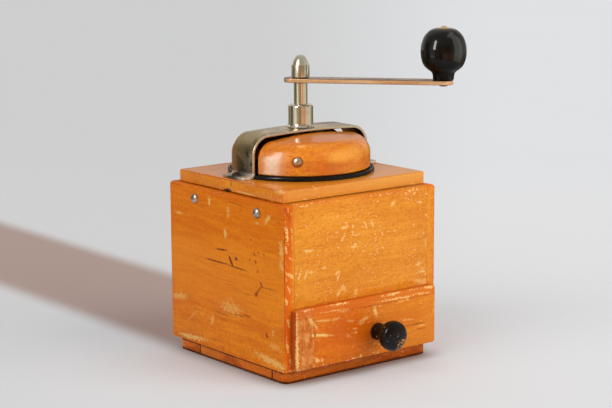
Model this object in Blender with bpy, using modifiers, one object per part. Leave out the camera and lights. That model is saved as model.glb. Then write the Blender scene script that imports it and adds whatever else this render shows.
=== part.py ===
# Wooden box coffee grinder with a turning wooden dome, a steel bridge and a crank on top.
# Metres. X runs to the right along the drawer front, Y to the back, Z up.
# The origin is under the middle of the box, on the surface that the grinder stands on.
import math

import bmesh
import bpy
from mathutils import Matrix, Vector

# General values
gap = 0.0003            # between pieces that touch or seat on each other
running_gap = 0.0006    # between pieces that turn or slide past each other
overrun = 0.002         # how far a cutter runs past what it cuts
weld_distance = 0.00001 # points closer than this are one point
round_steps = 48        # sides of a large turned piece
small_steps = 24        # sides of a small turned piece
screw_steps = 16        # sides of a screw

# Plinth under the box
plinth_height = 0.0088
plinth_side_inset = 0.0034
plinth_end_inset = 0.0050
plinth_corner_radius = 0.0045
front_batten_width = 0.0136
rear_batten_width = 0.0247

# Box
case_width = 0.130
case_depth = 0.130
case_height = 0.1096
side_thickness = 0.0080
front_thickness = 0.0080
rear_thickness = 0.0080
floor_thickness = 0.0030
case_corner_radius = 0.0026
drawer_opening_height = 0.0354

# Top board and the cleats that hold it
lid_thickness = 0.0083
lid_side_inset = 0.0042
lid_end_inset = 0.0070
lid_edge_radius = 0.0015
cleat_width = 0.0100
cleat_height = 0.0160
cleat_end_clearance = 0.0020

# Partition that carries the grinding works
partition_thickness = 0.0080
works_clearance = 0.0021        # between the drawer's walls and the lowest piece of the works

# Round-head screws through the side boards
side_screw_spacing = 0.0700
side_screw_drop = 0.0082
side_screw_shift = 0.0014       # toward the front
side_screw_head_radius = 0.0034
side_screw_head_height = 0.0023
side_screw_shank_radius = 0.0014
side_screw_length = 0.0150
screw_slot_width = 0.0008
screw_slot_depth = 0.0008

# Drawer
drawer_face_inset = 0.0052      # the face's ends inside the box's sides
drawer_lip = 0.0033             # how far the face covers the front board
drawer_face_edge = 0.0050
drawer_field_rise = 0.0016
drawer_field_margin = 0.0060    # the slope above and below the raised field
drawer_field_end_margin = 0.0135
drawer_face_drop = 0.0017       # the face's lower edge above the underside of the box
drawer_rebate_depth = 0.0060
drawer_side_clearance = 0.0008
drawer_floor_clearance = 0.0003
drawer_head_clearance = 0.0012
drawer_back_clearance = 0.0030
drawer_wall = 0.0050
drawer_wall_drop = 0.0020       # how far the side walls stop below the rebate's top
drawer_bottom_thickness = 0.0030

# Knob of the drawer
knob_offset = 0.0068            # to the right of the middle
knob_drop = 0.0036              # below the middle of the drawer's face
knob_stem_radius = 0.0058
knob_neck_radius = 0.0046
knob_stem_length = 0.0086
knob_head_radius = 0.0101
knob_head_thickness = 0.0134
knob_head_end = math.radians(62)        # where the head's curve meets the stem, below its widest
knob_screw_radius = 0.0016
knob_screw_bite = 0.0120
knob_screw_head_radius = 0.0032
knob_screw_head_height = 0.0016

# Hopper bowl with its upturned rim
hopper_rim_margin = 0.0028      # how far the rim stands out past the dome
hopper_rim_thickness = 0.0018
hopper_rim_height = 0.0028
hopper_sheet = 0.0010
hopper_ledge_width = 0.0060     # from the rim's outer side to the bowl's mouth
hopper_throat_step = 0.0005     # how much wider the bowl ends than the burr's throat
hopper_hole_clearance = 0.0020

# Wooden dome in two halves on a turning ring
dome_radius = 0.0472
dome_height = 0.0224
dome_crown_rise = 0.0009
crown_shares = (0.35, 0.7)      # where the crown's arc has a point, as shares of its reach
dome_shoulder_radius = 0.0120
dome_wall = 0.0060
dome_slot_width = 0.0260
dome_ring_width = 0.0055
dome_ring_thickness = 0.0012
dome_screw_radius = 0.0010
dome_screw_head_radius = 0.0018
dome_screw_head_height = 0.0006
dome_screw_bite = 0.0060
dome_screw_sink = 0.0006
dome_screw_angles = (math.radians(35), math.radians(145), math.radians(215), math.radians(325))

# Button on the front half of the dome
button_angle = math.radians(229)
button_height = 0.0098          # above the lower edge of the dome
button_head_radius = 0.0029
button_head_height = 0.0019
button_shank_radius = 0.0013

# Steel bridge over the dome
strap_width = 0.0232
strap_thickness = 0.0017
strap_crown_rise = 0.0009
strap_shoulder_radius = 0.0135
strap_foot_length = 0.0088
strap_foot_bend_radius = 0.0018
strap_screw_head_radius = 0.0032
strap_screw_head_height = 0.0022
strap_screw_shank_radius = 0.0014
strap_screw_length = 0.0070
strap_screw_inset = 0.0036      # from the end of the foot

# Bearing on the bridge
collar_radius = 0.0084
collar_height = 0.0152
collar_edge_radius = 0.0016
collar_flare = 0.0012
collar_flare_height = 0.0016
collar_spigot_wall = 0.0013
collar_clench_lip = 0.0014      # how far the clenched end spreads past the spigot
collar_clench_height = 0.0018
clench_clearance = 0.0004       # between the clenched end and the dome's crown

# Crank
shaft_radius = 0.0046
shaft_tenon_radius = 0.0033     # upper end of the shaft, through the arm and into the nut
arm_angle = math.radians(-50)
arm_reach = 0.0970
arm_tail = 0.0113
arm_width = 0.0140
arm_tip_width = 0.0130
arm_thickness = 0.0030
arm_clearance = 0.0150          # between the collar and the underside of the arm
nut_radius = 0.0061
nut_height = 0.0152
nut_skirt_share = 0.40
nut_tip_share = 0.42
spindle_radius = 0.0024
spindle_head_radius = 0.0034
spindle_head_height = 0.0011
spindle_head_flat_radius = 0.0024
grip_radius = 0.01525
grip_height = 0.0356
grip_neck_radius = 0.0067
grip_neck_height = 0.0020

# Grinding works
shaft_pin_radius = 0.0034       # lower end of the shaft, inside the cone
burr_body_radius = 0.0240
burr_rise = 0.0220              # above the partition
burr_drop = 0.0060              # below the partition's underside
burr_flange_width = 0.0090
burr_flange_thickness = 0.0030
cone_top_radius = 0.0085
cone_bottom_radius = 0.0165
cone_teeth = 16
cone_tooth_depth = 0.0016
cone_twist = math.radians(24)
cone_end_inset = 0.0010
grinding_gap = 0.0012
burr_throat_wall = 0.0040
burr_throat_depth = 0.0070
burr_screw_count = 3
burr_screw_start_share = 0.375    # of the angle between two screws, from the X axis
burr_screw_radius = 0.0014
burr_screw_head_radius = 0.0026
burr_screw_head_height = 0.0018
burr_screw_length = 0.0080

# Bridge under the grinding works, with the setting screw and its nut
saddle_width = 0.0120
saddle_thickness = 0.0025
saddle_leg_clearance = 0.0040   # between the ring burr and the outer side of each leg
saddle_depth = 0.0150           # of its bar below the partition
saddle_foot_length = 0.0100
saddle_bend_radius = 0.0035
saddle_screw_length = 0.0080
saddle_screw_inset = 0.0045
setting_screw_radius = 0.0030
setting_screw_drop = 0.0036     # below the saddle's bar
setting_nut_radius = 0.0090
setting_nut_height = 0.0050
setting_nut_teeth = 20
setting_nut_tooth_depth = 0.0007

# Heights and half widths that follow from the sizes above
half_width = case_width / 2
half_depth = case_depth / 2
case_bottom = plinth_height + gap
case_top = case_bottom + case_height
inner_half_width = half_width - side_thickness
inner_front = -half_depth + front_thickness
inner_rear = half_depth - rear_thickness
floor_top = case_bottom + floor_thickness
opening_top = floor_top + drawer_opening_height
drawer_face_bottom = case_bottom + drawer_face_drop
drawer_face_top = opening_top + drawer_lip
drawer_face_width = case_width - drawer_face_inset * 2
knob_height = (drawer_face_bottom + drawer_face_top) / 2 - knob_drop
drawer_rebate_top = opening_top - drawer_head_clearance
drawer_wall_top = drawer_rebate_top - drawer_wall_drop
setting_screw_bottom = drawer_wall_top + works_clearance
saddle_bar_bottom = setting_screw_bottom + setting_screw_drop
saddle_bar_top = saddle_bar_bottom + saddle_thickness
partition_bottom = saddle_bar_top + saddle_depth
partition_top = partition_bottom + partition_thickness
lid_bottom = case_top + gap
lid_top = lid_bottom + lid_thickness
hopper_bottom = lid_top + gap
hopper_top = lid_top + hopper_rim_height
hopper_rim_radius = dome_radius + hopper_rim_margin
hopper_mouth_radius = hopper_rim_radius - hopper_ledge_width
dome_bottom = hopper_top + gap
dome_top = dome_bottom + dome_height
strap_bottom = dome_top + clench_clearance + collar_clench_height + gap
strap_top = strap_bottom + strap_thickness
strap_inner_half = dome_radius + running_gap
strap_outer_half = strap_inner_half + strap_thickness
collar_bottom = strap_top + gap
collar_top = collar_bottom + collar_height
collar_spigot_radius = shaft_radius + gap + collar_spigot_wall
collar_clench_radius = collar_spigot_radius + collar_clench_lip
arm_bottom = collar_top + arm_clearance
arm_top = arm_bottom + arm_thickness
grip_bottom = arm_top + gap
setting_nut_bottom = saddle_bar_top + gap
setting_nut_top = setting_nut_bottom + setting_nut_height
burr_bottom = partition_bottom - burr_drop
burr_top = partition_top + burr_rise
burr_flange_radius = burr_body_radius + burr_flange_width
burr_screw_circle = burr_body_radius + burr_flange_width / 2
burr_throat_radius = burr_body_radius - burr_throat_wall
hopper_throat_radius = burr_throat_radius + hopper_throat_step
saddle_half_span = burr_body_radius + saddle_leg_clearance
setting_screw_top = (setting_nut_top + burr_bottom) / 2
shaft_bottom = setting_screw_top + gap

for leftover in list(bpy.data.objects):
    bpy.data.objects.remove(leftover, do_unlink=True)

parts = bpy.data.collections.new("coffee_grinder")
cutters = bpy.data.collections.new("cutters")
bpy.context.scene.collection.children.link(parts)
bpy.context.scene.collection.children.link(cutters)


def paint(name, colour, roughness, metallic=0.0):
    """A plain Principled material."""
    material = bpy.data.materials.new(name)
    material.use_nodes = True
    shader = material.node_tree.nodes["Principled BSDF"]
    shader.inputs["Base Color"].default_value = (*colour, 1.0)
    shader.inputs["Roughness"].default_value = roughness
    shader.inputs["Metallic"].default_value = metallic
    material.diffuse_color = (*colour, 1.0)
    return material


varnished_beech = paint("varnished_beech", (0.72, 0.30, 0.06), 0.32)
raw_beech = paint("raw_beech", (0.62, 0.42, 0.23), 0.70)
black_lacquer = paint("black_lacquer", (0.012, 0.011, 0.010), 0.18)
black_enamel = paint("black_enamel", (0.015, 0.014, 0.014), 0.30)
aged_nickel = paint("aged_nickel", (0.42, 0.37, 0.29), 0.34, 1.0)
bright_nickel = paint("bright_nickel", (0.72, 0.64, 0.54), 0.20, 1.0)
screw_steel = paint("screw_steel", (0.50, 0.47, 0.43), 0.35, 1.0)
cast_iron = paint("cast_iron", (0.10, 0.10, 0.10), 0.60, 1.0)


def place(name, mesh, material, where=(0, 0, 0), turn=(0, 0, 0), parent=None):
    """Put a mesh in the scene as one named sub-part."""
    piece = bpy.data.objects.new(name, mesh)
    parts.objects.link(piece)
    if material is not None:
        mesh.materials.append(material)
    piece.location = where
    piece.rotation_euler = turn
    piece.parent = parent
    return piece


def as_cutter(piece):
    """Move an object to the cutters, which are drawn as wires and left out of the object."""
    parts.objects.unlink(piece)
    cutters.objects.link(piece)
    piece.hide_render = True
    piece.display_type = "WIRE"
    return piece


def axis_empty(name, where, angle=0.0, parent=None):
    """An empty on a joint's axis, which carries the pieces that move on it."""
    empty = bpy.data.objects.new(name, None)
    parts.objects.link(empty)
    empty.empty_display_size = shaft_radius
    empty.location = where
    empty.rotation_euler = (0, 0, angle)
    empty.parent = parent
    return empty


def block_mesh(name, size, radius=0.0, steps=2, chosen=None):
    """A box around its own middle, with the chosen edges rounded."""
    mesh = bpy.data.meshes.new(name)
    shape = bmesh.new()
    bmesh.ops.create_cube(shape, size=1)
    bmesh.ops.scale(shape, vec=size, verts=shape.verts)
    if radius and chosen:
        edges = [edge for edge in shape.edges if chosen(*edge_side(edge))]
        bmesh.ops.bevel(shape, geom=edges, offset=radius, offset_type="OFFSET", segments=steps,
                        profile=0.5, affect="EDGES", clamp_overlap=True)
    shape.to_mesh(mesh)
    shape.free()
    return mesh


def edge_side(edge):
    """The side of the box that an edge lies on, as -1, 0 or 1 for each axis."""
    middle = (edge.verts[0].co + edge.verts[1].co) / 2
    return [0 if abs(value) < weld_distance else math.copysign(1, value) for value in middle]


def block(name, x, y, z, material, **rounding):
    """A box between the two ends given for each axis."""
    size = (x[1] - x[0], y[1] - y[0], z[1] - z[0])
    middle = ((x[0] + x[1]) / 2, (y[0] + y[1]) / 2, (z[0] + z[1]) / 2)
    return place(name, block_mesh(name, size, **rounding), material, middle)


def turned(name, profile, material, closed=False, steps=round_steps, where=(0, 0, 0),
           turn=(0, 0, 0), parent=None):
    """Turn a profile of (radius, height) points, which runs down its outer side, about Z."""
    mesh = bpy.data.meshes.new(name)
    shape = bmesh.new()
    points = [shape.verts.new((radius, 0, height)) for radius, height in profile]
    for first, second in zip(points, points[1:]):
        shape.edges.new((first, second))
    if closed:
        shape.edges.new((points[-1], points[0]))
    shape.to_mesh(mesh)
    shape.free()
    piece = place(name, mesh, material, where, turn, parent)
    screw = piece.modifiers.new("Turn", "SCREW")
    screw.steps = steps
    screw.render_steps = steps
    screw.use_merge_vertices = True
    screw.merge_threshold = weld_distance
    screw.use_smooth_shade = True
    return piece


def arc(centre, radius, start, end, steps):
    """Points along an arc, as (across, up) pairs."""
    points = []
    for step in range(steps + 1):
        angle = start + (end - start) * step / steps
        points.append((centre[0] + radius * math.cos(angle), centre[1] + radius * math.sin(angle)))
    return points


def cut(piece, cutter, operation="DIFFERENCE"):
    """Take the cutter's shape out of a piece, or keep only what both share."""
    boolean = piece.modifiers.new("Cut " + cutter.name, "BOOLEAN")
    boolean.operation = operation
    boolean.object = cutter
    boolean.solver = "EXACT"


def drill(name, radius, low, high, where, turn=(0, 0, 0), steps=screw_steps, parent=None):
    """A round cutter from low to high along its own Z axis."""
    mesh = bpy.data.meshes.new(name)
    shape = bmesh.new()
    bmesh.ops.create_cone(shape, cap_ends=True, segments=steps, radius1=radius, radius2=radius,
                          depth=high - low,
                          matrix=Matrix.Translation((0, 0, (low + high) / 2)))
    shape.to_mesh(mesh)
    shape.free()
    return as_cutter(place(name, mesh, None, where, turn, parent))


def mirrored(piece, x=False, y=False):
    """Repeat a piece on the other side of the box's middle."""
    mirror = piece.modifiers.new("Repeat", "MIRROR")
    mirror.mirror_object = middle_of_box
    mirror.use_axis = (x, y, False)
    mirror.use_mirror_merge = False
    return piece


def star_mesh(name, teeth, bottom, top, height, tooth_depth, twist=0.0):
    """A toothed cone or disc: every second edge point is drawn in by the tooth depth."""
    mesh = bpy.data.meshes.new(name)
    shape = bmesh.new()
    bmesh.ops.create_cone(shape, cap_ends=True, segments=teeth * 2, radius1=bottom, radius2=top,
                          depth=height, matrix=Matrix.Translation((0, 0, height / 2)))
    shape.verts.ensure_lookup_table()
    for vertex in shape.verts:
        angle = math.atan2(vertex.co.y, vertex.co.x)
        place_in_ring = round(angle / (math.pi / teeth))
        if place_in_ring % 2:
            shorter = 1 - tooth_depth / vertex.co.xy.length
            vertex.co.x *= shorter
            vertex.co.y *= shorter
    for vertex in shape.verts:
        if vertex.co.z > height / 2:
            vertex.co.xy = Matrix.Rotation(twist, 2) @ vertex.co.xy
    shape.to_mesh(mesh)
    shape.free()
    return mesh


def bent_strip(name, line, width, thickness, material):
    """A steel strip along a line of (x, z) points, whose given side is its upper side."""
    mesh = bpy.data.meshes.new(name)
    shape = bmesh.new()
    points = [shape.verts.new((x, -width / 2, z)) for x, z in line]
    edges = [shape.edges.new(pair) for pair in zip(points, points[1:])]
    swept = bmesh.ops.extrude_edge_only(shape, edges=edges)
    moved = [item for item in swept["geom"] if isinstance(item, bmesh.types.BMVert)]
    bmesh.ops.translate(shape, verts=moved, vec=(0, width, 0))
    bmesh.ops.recalc_face_normals(shape, faces=shape.faces)
    middle_face = min(shape.faces, key=lambda face: abs(face.calc_center_median().x))
    if middle_face.normal.z < 0:
        bmesh.ops.reverse_faces(shape, faces=shape.faces)
    shape.to_mesh(mesh)
    shape.free()
    piece = place(name, mesh, material)
    solidify = piece.modifiers.new("Sheet", "SOLIDIFY")
    solidify.thickness = thickness
    solidify.offset = -1
    solidify.use_even_offset = True
    return piece


def screw_profile(head_radius, head_height, shank_radius, length):
    """A round-head screw along Z, with the underside of its head at zero."""
    head = arc((0, 0), 1, math.pi / 2, 0, 4)
    dome = [(head_radius * across, head_height * up) for across, up in head]
    tip = (0, -length)
    shoulder = (shank_radius, -length + shank_radius)
    return dome + [(shank_radius, 0), shoulder, tip]


def slotted_screw(name, profile, where, turn=(0, 0, 0)):
    """A round-head screw with a slot across its head."""
    screw = turned(name, profile, screw_steel, steps=screw_steps, where=where, turn=turn)
    head_top = max(height for radius, height in profile)
    head_radius = max(radius for radius, height in profile)
    size = (screw_slot_width, head_radius * 2 + overrun, screw_slot_depth * 2)
    slot = place(name + "_slot", block_mesh(name + "_slot", size), None, where, turn)
    slot.matrix_basis = slot.matrix_basis @ Matrix.Translation((0, 0, head_top))
    cut(screw, as_cutter(slot))
    return screw


middle_of_box = axis_empty("middle_of_box", (0, 0, 0))


def build_plinth():
    """The base: a panel with a batten across each end."""
    x = (-half_width + plinth_side_inset, half_width - plinth_side_inset)
    front = -half_depth + plinth_end_inset
    rear = half_depth - plinth_end_inset
    front_joint = front + front_batten_width
    rear_joint = rear - rear_batten_width
    z = (0, plinth_height)
    block("base_panel", x, (front_joint + gap / 2, rear_joint - gap / 2), z, varnished_beech)
    block("base_front_batten", x, (front, front_joint - gap / 2), z, varnished_beech,
          radius=plinth_corner_radius, steps=4, chosen=lambda sx, sy, sz: sz == 0 and sy < 0)
    block("base_rear_batten", x, (rear_joint + gap / 2, rear), z, varnished_beech,
          radius=plinth_corner_radius, steps=4, chosen=lambda sx, sy, sz: sz == 0 and sy > 0)


def build_case():
    """The four walls, the floor under the drawer and the partition."""
    z = (case_bottom, case_top)
    fit = inner_half_width - gap

    def side_edges(outer):
        return lambda sx, sy, sz: (sx == outer and sz >= 0) or (sx == 0 and sz > 0)

    left = block("left_board", (-half_width, -inner_half_width), (-half_depth, half_depth), z,
                 varnished_beech, radius=case_corner_radius, chosen=side_edges(-1))
    right = block("right_board", (inner_half_width, half_width), (-half_depth, half_depth), z,
                  varnished_beech, radius=case_corner_radius, chosen=side_edges(1))
    block("front_board", (-fit, fit), (-half_depth, inner_front), (opening_top, case_top),
          varnished_beech, radius=case_corner_radius, chosen=lambda sx, sy, sz: sy < 0 < sz)
    block("rear_board", (-fit, fit), (inner_rear, half_depth), z,
          varnished_beech, radius=case_corner_radius, chosen=lambda sx, sy, sz: sz > 0 and sy > 0)
    block("floor_board", (-fit, fit), (-half_depth, inner_rear - gap), (case_bottom, floor_top),
          raw_beech)
    partition = block("partition_board", (-fit, fit), (inner_front + gap, inner_rear - gap),
                      (partition_bottom, partition_top), raw_beech)
    return left, right, partition


def build_lid():
    """The top board with the hopper's hole, and the cleats glued under it."""
    lid = block("top_board", (-half_width + lid_side_inset, half_width - lid_side_inset),
                (-half_depth + lid_end_inset, half_depth - lid_end_inset), (lid_bottom, lid_top),
                varnished_beech, radius=lid_edge_radius, steps=2,
                chosen=lambda sx, sy, sz: sz >= 0)
    hole = drill("hopper_hole", hopper_mouth_radius + hopper_sheet + hopper_hole_clearance / 2,
                 -lid_thickness / 2 - overrun, lid_thickness / 2 + overrun,
                 (0, 0, (lid_bottom + lid_top) / 2), steps=round_steps)
    cut(lid, hole)
    cleats = []
    for name, side in (("left_cleat", -1), ("right_cleat", 1)):
        outer = side * (inner_half_width - gap)
        inner = side * (inner_half_width - gap - cleat_width)
        y = (inner_front + cleat_end_clearance, inner_rear - cleat_end_clearance)
        cleats.append(block(name, (min(outer, inner), max(outer, inner)), y,
                            (case_top - cleat_height, case_top), raw_beech))
    return lid, cleats


def build_side_screws(boards, cleats):
    """Two round-head screws through each side board into the cleat behind it."""
    profile = screw_profile(side_screw_head_radius, side_screw_head_height,
                            side_screw_shank_radius, side_screw_length)
    z = case_top - side_screw_drop
    for board, cleat, side in zip(boards, cleats, (-1, 1)):
        for end, name in ((-1, "front"), (1, "rear")):
            where = (side * (half_width + gap), end * side_screw_spacing / 2 - side_screw_shift, z)
            outward = (0, side * math.pi / 2, 0)
            slotted_screw(f"{board.name[:-6]}_{name}_screw", profile, where, outward)
            hole = drill("side_screw_hole", side_screw_shank_radius + gap,
                         -side_screw_length - gap, overrun, where, outward)
            cut(board, hole)
            cut(cleat, hole)


def build_drawer():
    """The drawer: a lipped face, three walls, a bottom and a turned knob."""
    slide = axis_empty("drawer_slide", (0, -half_depth, floor_top))
    face_back = -half_depth - gap
    face_front = face_back - drawer_face_edge
    tray_half = inner_half_width - drawer_side_clearance
    tray_bottom = floor_top + drawer_floor_clearance
    rebate_back = face_back + drawer_rebate_depth
    tray_back = inner_rear - drawer_back_clearance
    wall_front = rebate_back + gap

    mesh = bpy.data.meshes.new("drawer_front")
    shape = bmesh.new()
    bmesh.ops.create_cube(shape, size=1)
    size = (drawer_face_width, drawer_face_edge, drawer_face_top - drawer_face_bottom)
    middle = (0, (face_front + face_back) / 2, (drawer_face_bottom + drawer_face_top) / 2)
    bmesh.ops.scale(shape, vec=size, verts=shape.verts)
    bmesh.ops.translate(shape, vec=middle, verts=shape.verts)
    shown = min(shape.faces, key=lambda face: face.calc_center_median().y)
    bmesh.ops.inset_individual(shape, faces=[shown], thickness=drawer_field_margin,
                               depth=drawer_field_rise)
    field_end = drawer_face_width / 2 - drawer_field_end_margin
    for vertex in shown.verts:
        vertex.co.x = math.copysign(field_end, vertex.co.x)
    shape.to_mesh(mesh)
    shape.free()
    face = place("drawer_front", mesh, varnished_beech)
    tongue = block("drawer_tongue", (-tray_half, tray_half), (face_back - gap, rebate_back),
                   (tray_bottom, drawer_rebate_top), None)
    cut(face, as_cutter(tongue), "UNION")

    side_y = (wall_front, tray_back)
    walls = []
    for name, side in (("drawer_left_side", -1), ("drawer_right_side", 1)):
        ends = sorted((side * tray_half, side * (tray_half - drawer_wall)))
        walls.append(block(name, ends, side_y, (tray_bottom, drawer_wall_top), raw_beech))
    inside = tray_half - drawer_wall - gap
    back = block("drawer_back", (-inside, inside), (tray_back - drawer_wall, tray_back),
                 (tray_bottom, drawer_wall_top), raw_beech)
    bottom = block("drawer_bottom", (-inside, inside), (wall_front, tray_back - drawer_wall - gap),
                   (tray_bottom, tray_bottom + drawer_bottom_thickness), raw_beech)

    shown_face = face_front - drawer_field_rise
    knob_seat = shown_face - gap
    toward_front = (math.pi / 2, 0, 0)
    head_middle = knob_stem_length + knob_head_thickness / 2
    head = [(knob_head_radius * across, head_middle + knob_head_thickness / 2 * up)
            for across, up in arc((0, 0), 1, math.pi / 2, -knob_head_end, 9)]
    stem = [(knob_neck_radius, knob_stem_length), (knob_stem_radius, knob_stem_length / 4),
            (knob_stem_radius, 0), (0, 0)]
    knob = turned("drawer_knob", head + stem, black_lacquer, steps=small_steps,
                  where=(knob_offset, knob_seat, knob_height), turn=toward_front)

    screw_seat = rebate_back + gap
    screw_length = screw_seat - knob_seat + knob_screw_bite
    profile = screw_profile(knob_screw_head_radius, knob_screw_head_height,
                            knob_screw_radius, screw_length)
    screw = turned("drawer_knob_screw", profile, screw_steel, steps=screw_steps,
                   where=(knob_offset, screw_seat, knob_height), turn=(-math.pi / 2, 0, 0))
    hole = drill("drawer_knob_hole", knob_screw_radius + gap, -screw_length - gap, overrun,
                 (knob_offset, screw_seat, knob_height), (-math.pi / 2, 0, 0))
    cut(face, hole)
    cut(knob, hole)
    for piece in (face, *walls, back, bottom, knob, screw):
        keep_place(piece, slide)


def keep_place(piece, parent):
    """Hang a piece on its joint's empty and leave it where it is."""
    bpy.context.view_layer.update()
    piece.parent = parent
    piece.matrix_parent_inverse = parent.matrix_world.inverted()


def build_hopper():
    """The sheet-steel bowl that hangs in the top board, with an upturned rim."""
    rim_inner = hopper_rim_radius - hopper_rim_thickness
    flange_top = hopper_bottom + hopper_sheet
    throat_height = burr_top + gap
    slope = hopper_sheet
    profile = [
        (rim_inner, hopper_top), (hopper_rim_radius, hopper_top),
        (hopper_rim_radius, hopper_bottom), (hopper_mouth_radius + slope, hopper_bottom),
        (hopper_throat_radius + slope, throat_height), (hopper_throat_radius, throat_height),
        (hopper_mouth_radius, flange_top), (rim_inner, flange_top)]
    bowl = turned("hopper_bowl", profile, black_enamel, closed=True)
    leg_slot = block("leg_slot", (strap_inner_half - gap, hopper_rim_radius + overrun),
                     (-strap_width / 2 - gap, strap_width / 2 + gap),
                     (hopper_bottom - overrun, hopper_top + overrun), None)
    cut(bowl, mirrored(as_cutter(leg_slot), x=True))


def dome_profile(radius, height, shoulder, rise):
    """The outline of the dome from the middle of its crown down to its lower edge."""
    flat_end = radius - shoulder
    outline = [(0, height)]
    for share in crown_shares:
        outline.append((flat_end * share, height - rise * share * share))
    outline += arc((flat_end, height - rise - shoulder), shoulder, math.pi / 2, 0, 6)
    outline.append((radius, 0))
    return outline


def build_dome():
    """Two wooden half shells and the steel ring that they turn on."""
    turning = axis_empty("dome_turn", (0, 0, dome_bottom))
    outer = dome_profile(dome_radius, dome_height, dome_shoulder_radius, dome_crown_rise)
    inner = dome_profile(dome_radius - dome_wall, dome_height - dome_wall,
                         dome_shoulder_radius - dome_wall / 2, dome_crown_rise)
    ring_outer = hopper_rim_radius - hopper_rim_thickness - running_gap
    ring_inner = ring_outer - dome_ring_width
    ring_top = dome_bottom - gap
    ring_profile = [(ring_inner, ring_top), (ring_outer, ring_top),
                    (ring_outer, ring_top - dome_ring_thickness),
                    (ring_inner, ring_top - dome_ring_thickness)]
    ring = turned("dome_ring", ring_profile, black_enamel, closed=True)

    screw_circle = dome_radius - dome_wall / 2
    profile = screw_profile(dome_screw_head_radius, dome_screw_head_height, dome_screw_radius,
                            dome_screw_bite)
    screws = []
    holes = []
    sinks = []
    for number, angle in enumerate(dome_screw_angles, 1):
        where = (screw_circle * math.cos(angle), screw_circle * math.sin(angle),
                 ring_top - dome_ring_thickness)
        seat = (where[0], where[1], where[2] + dome_screw_sink)
        screws.append(turned(f"dome_screw_{number}", profile, screw_steel, steps=screw_steps,
                             where=seat, turn=(math.pi, 0, 0)))
        holes.append(drill("dome_screw_hole", dome_screw_radius + gap, -overrun,
                           dome_screw_bite + dome_screw_sink + gap, where))
        sinks.append(drill("dome_screw_sink", dome_screw_head_radius + gap, -overrun,
                           dome_screw_sink + gap, where))
    for hole in (*holes, *sinks):
        cut(ring, hole)

    shells = []
    for name, side in (("front_dome_shell", -1), ("rear_dome_shell", 1)):
        shell = turned(name, outer + inner[::-1], varnished_beech, where=(0, 0, dome_bottom))
        y = sorted((side * dome_slot_width / 2, side * (dome_radius + overrun)))
        keeper = block(name + "_keeper", (-dome_radius - overrun, dome_radius + overrun), y,
                       (dome_bottom - overrun, dome_top + overrun), None)
        cut(shell, as_cutter(keeper), "INTERSECT")
        for hole in holes:
            cut(shell, hole)
        shells.append(shell)

    out = Vector((math.cos(button_angle), math.sin(button_angle), 0))
    where = out * (dome_radius + gap)
    where.z = dome_bottom + button_height
    turn = out.to_track_quat("Z", "Y").to_euler()
    profile = screw_profile(button_head_radius, button_head_height, button_shank_radius,
                            dome_wall - gap)
    button = turned("dome_button", profile, bright_nickel, steps=screw_steps, where=where,
                    turn=turn)
    hole = drill("dome_button_hole", button_shank_radius + gap, -dome_wall - overrun, overrun,
                 where, turn)
    cut(shells[0], hole)
    for piece in (ring, *screws, *shells, button):
        keep_place(piece, turning)


def build_bridge(lid):
    """The steel strap over the dome, its two screws and the shaft's bearing."""
    foot_end = strap_outer_half + strap_foot_length
    foot_top = lid_top + gap + strap_thickness
    bend = strap_foot_bend_radius
    shoulder = strap_shoulder_radius
    shoulder_x = strap_outer_half - shoulder
    shoulder_z = strap_top - strap_crown_rise - shoulder
    right = [(0, strap_top), (shoulder_x / 2, strap_top - strap_crown_rise / 4)]
    right += arc((shoulder_x, shoulder_z), shoulder, math.pi / 2, 0, 6)
    right += arc((strap_outer_half + bend, foot_top + bend), bend, math.pi, math.pi * 3 / 2, 3)
    right.append((foot_end, foot_top))
    left = [(-x, z) for x, z in right[:0:-1]]
    strap = bent_strip("bridge_strap", left + right, strap_width, strap_thickness, aged_nickel)
    shaft_hole = drill("collar_hole", collar_spigot_radius + gap,
                       -strap_thickness - overrun, overrun, (0, 0, strap_top),
                       steps=small_steps)
    cut(strap, shaft_hole)

    profile = screw_profile(strap_screw_head_radius, strap_screw_head_height,
                            strap_screw_shank_radius, strap_screw_length)
    for name, side in (("left_strap_screw", -1), ("right_strap_screw", 1)):
        where = (side * (foot_end - strap_screw_inset), 0, foot_top + gap)
        slotted_screw(name, profile, where)
        hole = drill("strap_screw_hole", strap_screw_shank_radius + gap,
                     -strap_screw_length - gap, overrun, where)
        cut(strap, hole)
        cut(lid, hole)

    bore = shaft_radius + gap
    under_strap = strap_bottom - gap
    edge = arc((collar_radius - collar_edge_radius, collar_top - collar_edge_radius),
               collar_edge_radius, math.pi / 2, 0, 3)
    profile = [(bore, collar_top)] + edge + [
        (collar_radius, collar_bottom + collar_flare_height),
        (collar_radius + collar_flare, collar_bottom), (collar_spigot_radius, collar_bottom),
        (collar_spigot_radius, under_strap), (collar_clench_radius, under_strap),
        (collar_clench_radius, under_strap - collar_clench_height),
        (bore, under_strap - collar_clench_height)]
    turned("bearing_collar", profile, bright_nickel, closed=True, steps=small_steps)


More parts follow.
